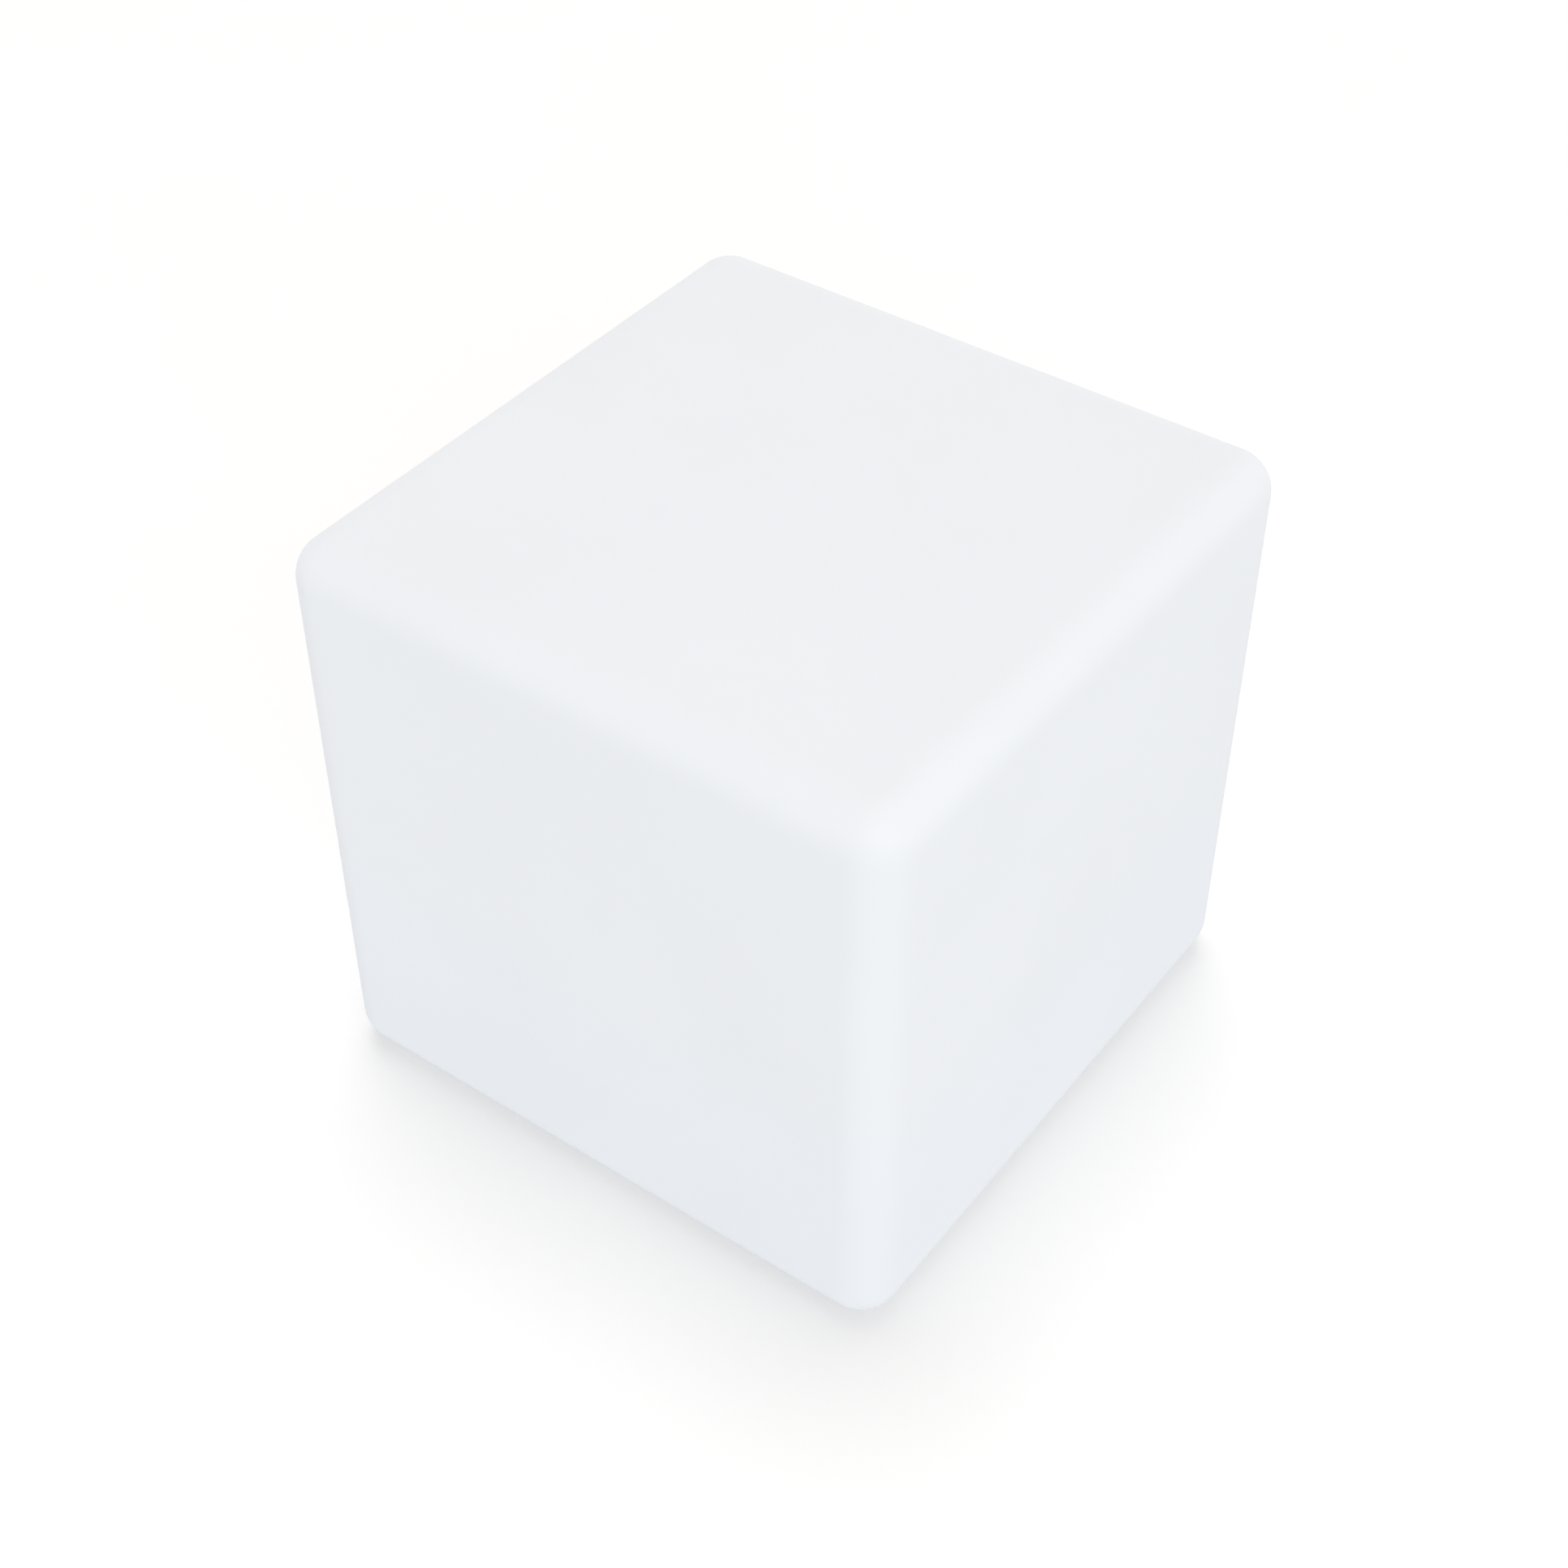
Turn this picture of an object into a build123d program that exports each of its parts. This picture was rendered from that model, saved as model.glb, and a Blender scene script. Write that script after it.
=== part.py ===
from build123d import *
import os
from math import pi, radians, sqrt, tan

# LED cube light: a hollow polyethylene cube that stands on its own flat underside, with a
# rechargeable light unit screwed up into a round recess in that underside.
# Millimetres, +Z up. The origin is the centre of the underside, on the surface it stands on.

# ------------------------------------------------------------------ cube
side = 400.0  # length and width of the cube
height = 388.0  # height of the cube
edge_r = 25.0  # round on all twelve edges
wall = 3.5  # skin of the moulding

# ------------------------------------------------------------------ recess in the underside
recess_gap = 3.0  # between the flange's rim and the wall of the recess, at the seat
recess_taper = 1.0  # how much wider the recess is at its mouth, so the mould pulls free
mouth_round = 4.0  # round on the edge of the mouth
opening_gap = 2.0  # between the cup and the hole in the seat that it goes up through

# ------------------------------------------------------------------ light base
face_z = 6.0  # outer face of the light base above the ground
plate_t = 4.0  # cover plate and flange
flange_reach = 16.0  # flange past the opening in the seat
flange_round = 1.2
cup_r = 64.0  # outside of the cup
cup_wall = 2.5
cup_h = 46.0  # rim of the cup above the plate
gasket_t = 1.5
gasket_inset = 1.2  # gasket stands back from the opening and from the flange's rim
groove_inset = 4.0  # ring groove round the cover plate, inside the line of the cup
groove_w = 1.6
groove_depth = 0.6
gusset_n = 6
gusset_t = 1.8
gusset_foot = 7.0
gusset_tip = 0.5
gusset_h = 20.0

# ------------------------------------------------------------------ screws and inserts
fit = 0.05  # gap all round a screw or a cell in what holds it
hole_gap = 0.25  # gap all round a screw in a hole it only passes through
base_screw_n = 6
base_screw_out = 8.5  # screw circle outside the opening in the seat
base_screw_r = 2.0
base_screw_len = 11.0
base_head_r = 4.0
base_head_h = 2.4
head_sink = 0.1  # heads lie this far inside the face
head_gap = 0.4  # room round a head in its counterbore
insert_r = 3.1
insert_len = 9.0
insert_band = 0.35  # knurled bands stand out by this
boss_r = 6.5
boss_floor = 3.0  # material over the blind end of an insert's hole
boss_round = 1.4
small_screw_r = 1.25  # screws that hold boards and strap
small_screw_len = 7.0
small_head_r = 2.4
small_head_h = 1.7
post_r = 3.2  # posts under boards and strap

# ------------------------------------------------------------------ light head
dome_screw_n = 6
dome_screw_inset = 6.5  # screw circle inside the outside of the cup
dome_screw_r = 1.5
dome_screw_len = 14.0
dome_head_r = 2.9
dome_head_h = 2.1
dome_post_r = 5.0
spreader_t = 2.0
spreader_gap = 0.2  # spreader inside the cup's rim
led_board_inset = 20.0  # light board inside the outside of the cup
board_t = 1.6
led_screw_n = 3
led_screw_inset = 5.5
led_screw_len = 3.2
colour_led_n = 12
colour_led_inset = 14.0  # ring of colour diodes inside the board's edge
colour_led_size = 5.0
colour_led_h = 1.5
colour_lens_r = 2.0
white_led_n = 8
white_led_inset = 28.0
white_led_size = 3.2
white_led_h = 1.1
white_lens_r = 1.2
window_depth = 0.3
receiver_x = 6.0
receiver_y = 5.0
receiver_h = 5.0
receiver_lens_r = 2.2
dome_inset = 12.0  # dome's foot inside the outside of the cup
dome_h = 28.0  # rise of the dome above its flange
dome_t = 2.0
dome_flange_t = 3.0
seal_inset = 11.0
seal_r = 0.8  # section of the dome's ring seal
seal_squeeze = 0.05
seal_side = 0.3  # groove past each side of the seal

# ------------------------------------------------------------------ battery
cell_r = 9.2
cell_len = 65.0
cell_gap = 0.8  # between the two cells
nub_r = 3.2
nub_h = 0.6
crimp_in = 3.0  # crimped neck from the end of the can
crimp_depth = 0.5
saddle_floor = 2.0  # plastic under the cells
saddle_t = 2.5
saddle_side = 2.0  # saddle outside the cells
saddle_pitch = 38.0
saddle_n = 2
saddle_drop = 1.0  # saddles end this far under the cells' middle
stop_h = 5.0  # low walls that keep the cells from sliding
stop_gap = 1.2
tab_t = 0.3
tab_r = 5.0
tab_w = 6.0
tab_inner_x = 0.9  # half the gap between the two outlet tabs
strap_t = 2.0
strap_w = 12.0
strap_foot = 5.0  # strap's foot past its screw
strap_screw_x = 26.0
strap_y = -10.0  # the strap crosses the cells to one side of the port cover's stud

# ------------------------------------------------------------------ control board
board_x = 64.0
board_y = 60.0
board_round = 4.0
board_rise = 28.0  # control board above the plate
board_screw_x = 27.0
board_screw_y = 24.0
chip_x = 7.5
chip_y = 10.0
chip_h = 1.9
chip_leg_n = 8  # on each side
chip_leg_pitch = 1.27
chip_leg_w = 0.45
chip_leg_out = 1.4
chip_leg_h = 0.5
chip_place_y = 2.0
capacitor_r = 4.0
capacitor_h = 10.5
capacitor_neck = 0.4
capacitor_neck_z = 2.0
capacitor_y = -14.0
capacitor_xs = (11.0, 21.0)
inductor_w = 9.0
inductor_h = 5.0
inductor_round = 1.5
inductor_core_r = 3.8
inductor_flange_t = 1.4
inductor_x = -13.0
inductor_y = -12.0
plug_w = 8.0  # connectors of the internal leads, across the lead
plug_l = 7.0
plug_h = 6.0
plug_round = 0.6
key_h = 0.5
standing_plug_h = 4.6  # upright connector on the jack's board
header_x = 13.0
header_y = 2.6
header_place_y = -22.0
header_gap = 0.6
pin_n = 5
pin_pitch = 2.54
pin_w = 0.64
pin_proud = 0.9

# ------------------------------------------------------------------ push switch
switch_inset = 22.0  # middle of the switch inside the outside of the cup
finger_r = 11.0  # finger dish round the button, at the face
finger_taper = 1.0
finger_depth = 5.0
finger_wall = 2.5
floor_t = 3.0  # dish floor that the switch is clamped to
barrel_r = 6.0
barrel_len = 16.5
bezel_r = 7.5
bezel_t = 2.0
bezel_round = 0.7
seal_t = 0.5
nut_flats = 15.0
nut_t = 2.5
nut_face = 0.8  # washer face under the nut
button_r = 4.2
button_proud = 2.2  # button stands out of its bezel
button_round = 0.9
button_travel = 1.5
running_fit = 0.05
shoulder_r = 4.75
shoulder_t = 1.2
guide_len = 1.6  # length of the bore the button runs in, past the bezel
chamber_r = 5.0
back_wall = 2.0
stem_r = 1.4
stem_len = 6.0
contact_r = 3.0
contact_t = 0.6
contact_gap = 0.2  # left between contact and terminals with the button pressed
terminal_r = 0.7
terminal_rise = 5.0
spring_wire_r = 0.28
spring_mean_r = 4.1
spring_turns = 5
end_gap = 0.1

# ------------------------------------------------------------------ charging port
port_inset = 22.0  # middle of the port inside the outside of the cup
dish_depth = 2.4
dish_gap = 0.9  # room round the cover in its dish
plug_recess_r = 6.2
plug_recess_depth = 3.6
port_boss_r = 9.2
web_t = 1.5  # between the cover's plug and the jack
web_hole_r = 3.4
jack_x = 9.4
jack_y = 11.4
jack_len = 13.0
jack_nose_r = 4.6
jack_nose_len = 3.5
barrel_bore_r = 2.85  # takes a 5.5 mm barrel plug
barrel_bore_len = 9.5
jack_pin_r = 1.0
jack_pin_len = 7.5
jack_corner = 0.8
window_x = 1.6  # opening in the jack's side, over its spring contact
window_y = 3.0
window_low = 5.0  # above the jack's mouth
window_high = 2.5  # below the jack's board
terminal_w = 2.4
terminal_t = 0.6
terminal_pitch = 4.2
terminal_proud = 1.4  # above the jack's board
jack_board_x = 18.0
jack_board_y = 41.0
jack_board_round = 2.0
jack_post_y = 17.2
jack_plug_shift = 3.0  # upright connector from the port's middle
jack_plug_y = 10.4
pipe_y = 11.4
pipe_r = 1.5
pipe_collar_r = 2.0
pipe_collar_t = 2.0
pipe_gap = 0.3  # between light pipe and its diode
diode_x = 2.0
diode_y = 1.3
diode_h = 0.8

# ------------------------------------------------------------------ port cover
disc_r = 8.2
disc_t = 1.8
cover_plug_r = 5.6
cover_tip_r = 5.0
cover_plug_len = 3.2
cover_lip_r = 5.9
cover_lip_at = 1.2
cover_lip_t = 1.0
cover_plug_wall = 1.4
tab_reach = 3.0
tab_width = 7.0
tab_round = 2.8
tab_relief = 0.3  # tab lies this far off the floor of the dish, for a fingernail
strap_width = 6.0
band_t = 1.2
pivot_dx = 12.0  # from the port's centre to the bend in the strap
pivot_drop = 0.9  # bend below the floor of the dish
bead_r = 0.75
bead_gap = 0.1
anchor_len = 8.0
anchor_stud_r = 1.8
anchor_stud_shift = 1.0  # stud past the middle of the anchor's pad
anchor_head_r = 2.9
anchor_head_t = 2.0
anchor_gap = 0.1

# ------------------------------------------------------------------ internal leads
wire_d = 1.4
wire_pitch = 4.0  # between the two wires of a lead
wire_z = 3.4  # wires above the control board, at its connectors
solder_gap = 0.5  # middle of a wire's end stands off the battery tab
loop_out = 10.5  # battery lead's loop past the tabs
loop_up = 7.0

# ------------------------------------------------------------------ worked out from the above: across
opening_r = cup_r + opening_gap
flange_r = opening_r + flange_reach
seat_r = flange_r + recess_gap
recess_r = seat_r + recess_taper
base_screw_circle = opening_r + base_screw_out
groove_r = cup_r - groove_inset
dome_screw_circle = cup_r - dome_screw_inset
dome_r = cup_r - dome_inset
seal_circle = cup_r - seal_inset
led_board_r = cup_r - led_board_inset
led_screw_circle = led_board_r - led_screw_inset
colour_led_circle = led_board_r - colour_led_inset
white_led_circle = led_board_r - white_led_inset
switch_x = cup_r - switch_inset
port_x = port_inset - cup_r

# ------------------------------------------------------------------ worked out from the above: heights
plate_z = face_z + plate_t  # inner face of the plate and flange
seat_z = plate_z + gasket_t
cup_top = plate_z + cup_h
spreader_z = cup_top - spreader_t
flange_top = cup_top + dome_flange_t
board_z = plate_z + board_rise
board_top = board_z + board_t
cell_x = cell_r + cell_gap / 2
cell_z = plate_z + saddle_floor + cell_r + fit
finger_z = face_z + finger_depth
finger_top = finger_z + floor_t
bezel_z = finger_z - seal_t - bezel_t
button_z = bezel_z - button_proud
shoulder_z = bezel_z + bezel_t + guide_len
chamber_top = bezel_z + bezel_t + barrel_len - back_wall
contact_z = shoulder_z + end_gap + shoulder_t + stem_len
terminal_z = contact_z + contact_t + button_travel + contact_gap
barrel_end = bezel_z + bezel_t + barrel_len
dish_z = face_z + dish_depth
jack_z = dish_z + plug_recess_depth + web_t
jack_board_z = jack_z + jack_len
pivot_x = port_x + pivot_dx
pivot_z = dish_z - pivot_drop
anchor_x = pivot_x + anchor_len / 2 + anchor_stud_shift
jack_plug_x = port_x - jack_plug_shift

UP = (Align.CENTER, Align.CENTER, Align.MIN)


# ------------------------------------------------------------------ shapes used throughout
def rod(radius, low, high):
    return Pos(0, 0, low) * Cylinder(radius, high - low, align=UP)


def tube(outer, inner, low, high):
    return rod(outer, low, high) - rod(inner, low, high)


def slab(x, y, low, high):
    return Pos(0, 0, low) * Box(x, y, high - low, align=UP)


def rounded_slab(x, y, radius, low, high):
    outline = RectangleRounded(x, y, radius)
    return Pos(0, 0, low) * extrude(outline, high - low)


def turned(*points):
    """A solid of revolution about the upright axis, from (radius, height) points."""
    return revolve(Plane.XZ * make_face(Polyline(*points, close=True)), Axis.Z)


def round_the_axis(count, radius, start=0.0):
    return [Rot(0, 0, start + 360 / count * i) * Pos(radius, 0, 0) for i in range(count)]


def round_edges(solid, radius, low, high, size):
    """Rounds the circular edges of one size whose centres lie between two heights."""
    edges = [
        edge
        for edge in solid.edges().filter_by(GeomType.CIRCLE)
        if low <= edge.arc_center.Z <= high and abs(edge.radius - size) < fit / 2
    ]
    return fillet(edges, radius)


def pan_screw(shank_r, length, head_r, head_h):
    """Pan-head screw with a cross recess: shank up, the head's seat at height 0."""
    head = turned(
        (0, 0),
        (head_r, 0),
        (head_r, -head_h * 0.45),
        (head_r * 0.72, -head_h),
        (0, -head_h),
    )
    recess = slab(head_r * 1.1, head_r * 0.3, -head_h, -head_h * 0.45)
    point = shank_r / 2
    shank = turned((0, 0), (shank_r, 0), (shank_r, length - point), (point, length), (0, length))
    return head - recess - Rot(0, 0, 90) * recess + shank


# ------------------------------------------------------------------ cube shell
def rounded_cube(inset):
    block = slab(side - 2 * inset, side - 2 * inset, inset, height - inset)
    return fillet(block.edges(), edge_r - inset)


def cube_shell():
    """The moulded skin: rounded cube, drafted recess with its seat, and six insert bosses."""
    seat_top = seat_z + wall
    boss_top = seat_z + insert_len + boss_floor
    pan = turned(
        (0, 0),
        (recess_r + wall, 0),
        (seat_r + wall, seat_top),
        (0, seat_top),
    )
    cavity = turned((0, 0), (recess_r, 0), (seat_r, seat_z), (0, seat_z))
    shell = rounded_cube(0) - rounded_cube(wall) + pan
    boss = rod(boss_r, seat_top - wall / 2, boss_top)
    pocket = rod(insert_r + fit, seat_z - fit, seat_z + insert_len + fit)
    shell += [place * boss for place in base_screw_places()]
    shell = round_edges(shell, boss_round, seat_top - fit, seat_top + fit, boss_r)
    shell -= cavity
    shell -= rod(opening_r, seat_z - fit, seat_top + fit)
    shell -= [place * pocket for place in base_screw_places()]
    return round_edges(shell, mouth_round, -fit, fit, recess_r)


def base_screw_places():
    return round_the_axis(base_screw_n, base_screw_circle)


def dome_screw_places():
    return round_the_axis(dome_screw_n, dome_screw_circle, start=30)


def threaded_inserts():
    """Brass inserts with two knurled bands, moulded into the bosses."""
    low = seat_z
    high = seat_z + insert_len
    band = insert_r - insert_band
    insert = turned(
        (base_screw_r + fit, low),
        (insert_r, low),
        (insert_r, low + insert_len * 0.35),
        (band, low + insert_len * 0.42),
        (band, low + insert_len * 0.58),
        (insert_r, low + insert_len * 0.65),
        (insert_r, high),
        (base_screw_r + fit, high),
    )
    return Part() + [place * insert for place in base_screw_places()]


def base_gasket():
    ring = tube(flange_r - gasket_inset, opening_r + gasket_inset, plate_z, seat_z)
    hole = rod(base_screw_r + hole_gap, plate_z, seat_z)
    return ring - [place * hole for place in base_screw_places()]


# ------------------------------------------------------------------ light base
def port_dish(grow, low, high):
    """The long round-ended dish that the port cover and its strap lie in."""
    near = pivot_x + anchor_len + dish_gap + grow
    far = port_x - disc_r - tab_reach - dish_gap - grow
    width = 2 * (disc_r + dish_gap + grow)
    outline = SlotOverall(near - far, width)
    return Pos((near + far) / 2, 0, low) * extrude(outline, high - low)


def gusset(angle):
    """A triangular rib between the plate and the cup's wall."""
    out = cup_r - cup_wall / 2
    corner = Polyline(
        (out, plate_z - fit),
        (out, plate_z + gusset_h),
        (cup_r - cup_wall - gusset_tip, plate_z + gusset_h),
        (cup_r - cup_wall - gusset_foot, plate_z),
        (cup_r - cup_wall - gusset_foot, plate_z - fit),
        close=True,
    )
    rib = extrude(Plane.XZ * make_face(corner), gusset_t / 2, both=True)
    return Rot(0, 0, angle) * rib


def cell_saddles():
    """Cross ribs cut to the round of the two cells, with a low stop wall past each end."""
    width = 2 * (cell_x + cell_r + saddle_side)
    middle = (saddle_n - 1) / 2
    places = [Pos(0, (i - middle) * saddle_pitch, 0) for i in range(saddle_n)]
    ribs = [place * slab(width, saddle_t, plate_z - fit, cell_z - saddle_drop) for place in places]
    stop_y = cell_len / 2 + tab_t + stop_gap + saddle_t / 2
    stops = [
        Pos(0, way * stop_y, 0) * slab(width, saddle_t, plate_z - fit, plate_z + stop_h)
        for way in (-1, 1)
    ]
    room = Rot(90, 0, 0) * Cylinder(cell_r + fit, cell_len)
    return Part() + ribs - [Pos(way * cell_x, 0, cell_z) * room for way in (-1, 1)] + stops


def board_places():
    corners = [(x, y) for x in (-board_screw_x, board_screw_x) for y in (-board_screw_y, board_screw_y)]
    return [Pos(x, y, 0) for x, y in corners]


def strap_places():
    return [Pos(x, strap_y, 0) for x in (-strap_screw_x, strap_screw_x)]


def jack_post_places():
    return [Pos(port_x, y, 0) for y in (-jack_post_y, jack_post_y)]


def posts_and_ribs():
    """Everything that stands up from the plate inside the cup."""
    low = plate_z - fit
    parts = [place * rod(dome_post_r, low, spreader_z) for place in dome_screw_places()]
    parts += [gusset(360 / gusset_n * i) for i in range(gusset_n)]
    parts += [place * rod(post_r, low, board_z) for place in board_places()]
    parts += [place * rod(post_r, low, cell_z) for place in strap_places()]
    parts += [place * rod(post_r, low, jack_board_z) for place in jack_post_places()]
    parts += [cell_saddles()]
    parts += [Pos(switch_x, 0, 0) * rod(finger_r + finger_wall, face_z + fit, finger_top)]
    parts += [Pos(port_x, 0, 0) * rod(port_boss_r, low, jack_z)]
    return parts


def base_holes():
    """Screw holes, wells and openings of the light base."""
    head_room = rod(base_head_r + head_gap, face_z - fit, face_z + head_sink + base_head_h)
    shank_room = rod(base_screw_r + hole_gap, face_z, plate_z + fit)
    cuts = [place * (head_room + shank_room) for place in base_screw_places()]
    dome_hole = rod(dome_screw_r + fit, spreader_z - dome_screw_len, spreader_z + fit)
    cuts += [place * dome_hole for place in dome_screw_places()]
    posts = [(board_places(), board_z), (strap_places(), cell_z), (jack_post_places(), jack_board_z)]
    for places, top in posts:
        pilot = rod(small_screw_r + fit, top - small_screw_len, top + fit)
        cuts += [place * pilot for place in places]
    finger_dish = turned(
        (0, face_z - fit),
        (finger_r, face_z - fit),
        (finger_r - finger_taper, finger_z),
        (0, finger_z),
    )
    cuts += [Pos(switch_x, 0, 0) * (finger_dish + rod(barrel_r + fit, face_z, finger_top + fit))]
    plug_well = rod(plug_recess_r, face_z, dish_z + plug_recess_depth)
    cuts += [port_dish(0, face_z - fit, dish_z)]
    cuts += [Pos(port_x, 0, 0) * (plug_well + rod(web_hole_r, face_z, jack_z + fit))]
    cuts += [Pos(port_x, pipe_y, 0) * rod(pipe_r + fit, face_z - fit, plate_z + fit)]
    cuts += [Pos(anchor_x, 0, 0) * rod(anchor_stud_r + fit, face_z, plate_z + fit)]
    return cuts + [tube(groove_r + groove_w, groove_r, face_z - fit, face_z + groove_depth)]


def light_base():
    """One moulding: cover plate and flange, cup, posts, saddles, gussets and wells."""
    inner = cup_r - cup_wall
    body = turned(
        (0, face_z),
        (flange_r, face_z),
        (flange_r, plate_z),
        (cup_r, plate_z),
        (cup_r, cup_top),
        (inner, cup_top),
        (inner, plate_z),
        (0, plate_z),
    )
    body = round_edges(body, flange_round, face_z - fit, face_z + fit, flange_r)
    body += posts_and_ribs()
    body -= base_holes()
    return body


def base_screws():
    screw = pan_screw(base_screw_r, base_screw_len, base_head_r, base_head_h)
    seat = Pos(0, 0, face_z + head_sink + base_head_h)
    return Part() + [place * seat * screw for place in base_screw_places()]


# ------------------------------------------------------------------ battery
def battery_cells():
    """Two cells side by side, one of them turned end for end; each has a crimped neck and a nub."""
    can_len = cell_len - nub_h
    crimp = can_len - crimp_in
    cell = turned(
        (0, 0),
        (cell_r, 0),
        (cell_r, crimp - crimp_depth),
        (cell_r - crimp_depth, crimp),
        (cell_r, crimp + crimp_depth),
        (cell_r, can_len),
        (nub_r, can_len),
        (nub_r, cell_len),
        (0, cell_len),
    )
    cell = Pos(0, 0, -cell_len / 2) * cell
    return Part() + [Pos(way * cell_x, 0, cell_z) * Rot(way * 90, 0, 0) * cell for way in (-1, 1)]


def battery_tabs():
    """A link across one end of the pair, and two outlet tabs at the other."""
    discs = [Pos(way * cell_x, 0) * Circle(tab_r) for way in (-1, 1)]
    link = Rectangle(2 * cell_x, tab_w) + discs
    reach = cell_x - tab_inner_x
    arms = [Pos(way * (tab_inner_x + reach / 2), 0) * Rectangle(reach, tab_w) for way in (-1, 1)]
    outlets = [disc + arm for disc, arm in zip(discs, arms)]
    end = cell_len / 2
    flat = Plane.XZ
    link_tab = Pos(0, -end, cell_z) * extrude(flat * link, tab_t)
    outlet_tabs = [Pos(0, end + tab_t, cell_z) * extrude(flat * outlet, tab_t) for outlet in outlets]
    return Part() + [link_tab] + outlet_tabs


def battery_strap():
    """A bridge over both cells, with a flat foot on each side."""
    inner = cell_r + fit
    outer = inner + strap_t
    foot_out = strap_screw_x + strap_foot
    centres = [Pos(way * cell_x, 0) for way in (-1, 1)]
    arches = Sketch() + [centre * Circle(outer) for centre in centres]
    arches += Pos(0, strap_t / 2) * Rectangle(2 * foot_out, strap_t)
    arches -= [centre * Circle(inner) for centre in centres]
    below = Pos(0, -outer) * Rectangle(4 * outer, 2 * outer)
    valley = Pos(0, inner / 4) * Rectangle(2 * cell_x, inner / 2)
    profile = arches - below - valley
    bridge = Pos(0, strap_y, cell_z) * extrude(Plane.XZ * profile, strap_w / 2, both=True)
    hole = rod(small_screw_r + hole_gap, cell_z - fit, cell_z + strap_t + fit)
    return bridge - [place * hole for place in strap_places()]


def screws_down(places, seat, length):
    """Small screws with their heads up, on a seat at one height."""
    screw = Rot(180, 0, 0) * pan_screw(small_screw_r, length, small_head_r, small_head_h)
    return Part() + [place * Pos(0, 0, seat) * screw for place in places]


# ------------------------------------------------------------------ control board
def pin_slot(low, high):
    return Pos(0, header_place_y, 0) * slab(pin_pitch * pin_n, pin_w + 2 * fit, low, high)


def control_board():
    board = rounded_slab(board_x, board_y, board_round, board_z, board_top)
    holes = [place * rod(small_screw_r + hole_gap, board_z, board_top) for place in board_places()]
    return board - holes - pin_slot(board_z, board_top)


def controller_chip():
    """The chip with its legs, on the middle of the board."""
    body = Pos(0, 0, chip_leg_h / 2) * slab(chip_x, chip_y, board_top, board_top + chip_h)
    middle = (chip_leg_n - 1) / 2
    leg = slab(chip_x + 2 * chip_leg_out, chip_leg_w, board_top, board_top + chip_leg_h)
    legs = [Pos(0, (i - middle) * chip_leg_pitch, 0) * leg for i in range(chip_leg_n)]
    return Pos(0, chip_place_y, 0) * (body + legs)


def capacitors():
    """Two round capacitors with the crimped neck of their cans."""
    neck = capacitor_r - capacitor_neck
    can = turned(
        (0, 0),
        (capacitor_r, 0),
        (capacitor_r, capacitor_neck_z - 1.5 * capacitor_neck),
        (neck, capacitor_neck_z),
        (capacitor_r, capacitor_neck_z + 1.5 * capacitor_neck),
        (capacitor_r, capacitor_h),
        (0, capacitor_h),
    )
    return Part() + [Pos(x, capacitor_y, board_top) * can for x in capacitor_xs]


def power_inductor():
    core = rounded_slab(inductor_w, inductor_w, inductor_round, 0, inductor_h)
    window = tube(inductor_w, inductor_core_r, inductor_flange_t, inductor_h - inductor_flange_t)
    return Pos(inductor_x, inductor_y, board_top) * (core - window)


def lead_plug():
    """A two-way connector lying flat, its mouth at x = 0 facing +X."""
    body = Pos(-plug_l / 2, 0, 0) * slab(plug_l, plug_w, 0, plug_h)
    body = fillet(body.edges().filter_by(Axis.X), plug_round)
    key = Pos(-plug_l / 2, 0, 0) * slab(plug_l / 2, plug_w / 3, plug_h, plug_h + key_h)
    return body + key


def lead_entries():
    """Mouths of the control board's connectors: battery, charging and switch leads."""
    return [
        Pos(0, board_y / 2, board_top) * Rot(0, 0, 90),
        Pos(-board_x / 2, jack_plug_y, board_top) * Rot(0, 0, 180),
        Pos(board_x / 2, 0, board_top),
    ]


def board_connectors():
    low = jack_board_z + board_t
    standing = rounded_slab(plug_h, plug_w, plug_round, low, low + standing_plug_h)
    standing = Pos(jack_plug_x, jack_plug_y, 0) * standing
    return Part() + [entry * lead_plug() for entry in lead_entries()] + [standing]


def led_header():
    """Pin strip that carries the control board's outputs up to the light board."""
    strip = slab(header_x, header_y, board_top, cup_top - end_gap)
    middle = (pin_n - 1) / 2
    pin = slab(pin_w, pin_w, board_z - pin_proud, cup_top + board_t + pin_proud)
    pins = [Pos((i - middle) * pin_pitch, 0, 0) * pin for i in range(pin_n)]
    return Pos(0, header_place_y, 0) * (strip + pins)


# ------------------------------------------------------------------ push switch
def switch_body():
    """Bezel and barrel, bored for the button and its chamber."""
    top = barrel_end
    bezel = rod(bezel_r, bezel_z, bezel_z + bezel_t)
    bezel = round_edges(bezel, bezel_round, bezel_z - fit, bezel_z + fit, bezel_r)
    body = bezel + rod(barrel_r, bezel_z, top)
    body -= rod(button_r + running_fit, bezel_z - fit, shoulder_z)
    body -= rod(chamber_r, shoulder_z, chamber_top)
    terminal_hole = rod(terminal_r + fit, chamber_top - fit, top + fit)
    body -= [place * terminal_hole for place in terminal_places()]
    return Pos(switch_x, 0, 0) * body


def terminal_places():
    return [Pos(0, way * wire_pitch / 2, 0) for way in (-1, 1)]


def switch_seal():
    return Pos(switch_x, 0, 0) * tube(bezel_r - bezel_round, barrel_r + fit, finger_z - seal_t, finger_z)


def switch_nut():
    hexagon = RegularPolygon(nut_flats / 2, 6, major_radius=False)
    face = rod(nut_flats / 2, finger_top, finger_top + nut_face)
    nut = Pos(0, 0, finger_top + nut_face) * extrude(hexagon, nut_t - nut_face) + face
    return Pos(switch_x, 0, 0) * (nut - rod(barrel_r + fit, finger_top, finger_top + nut_t))


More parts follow.
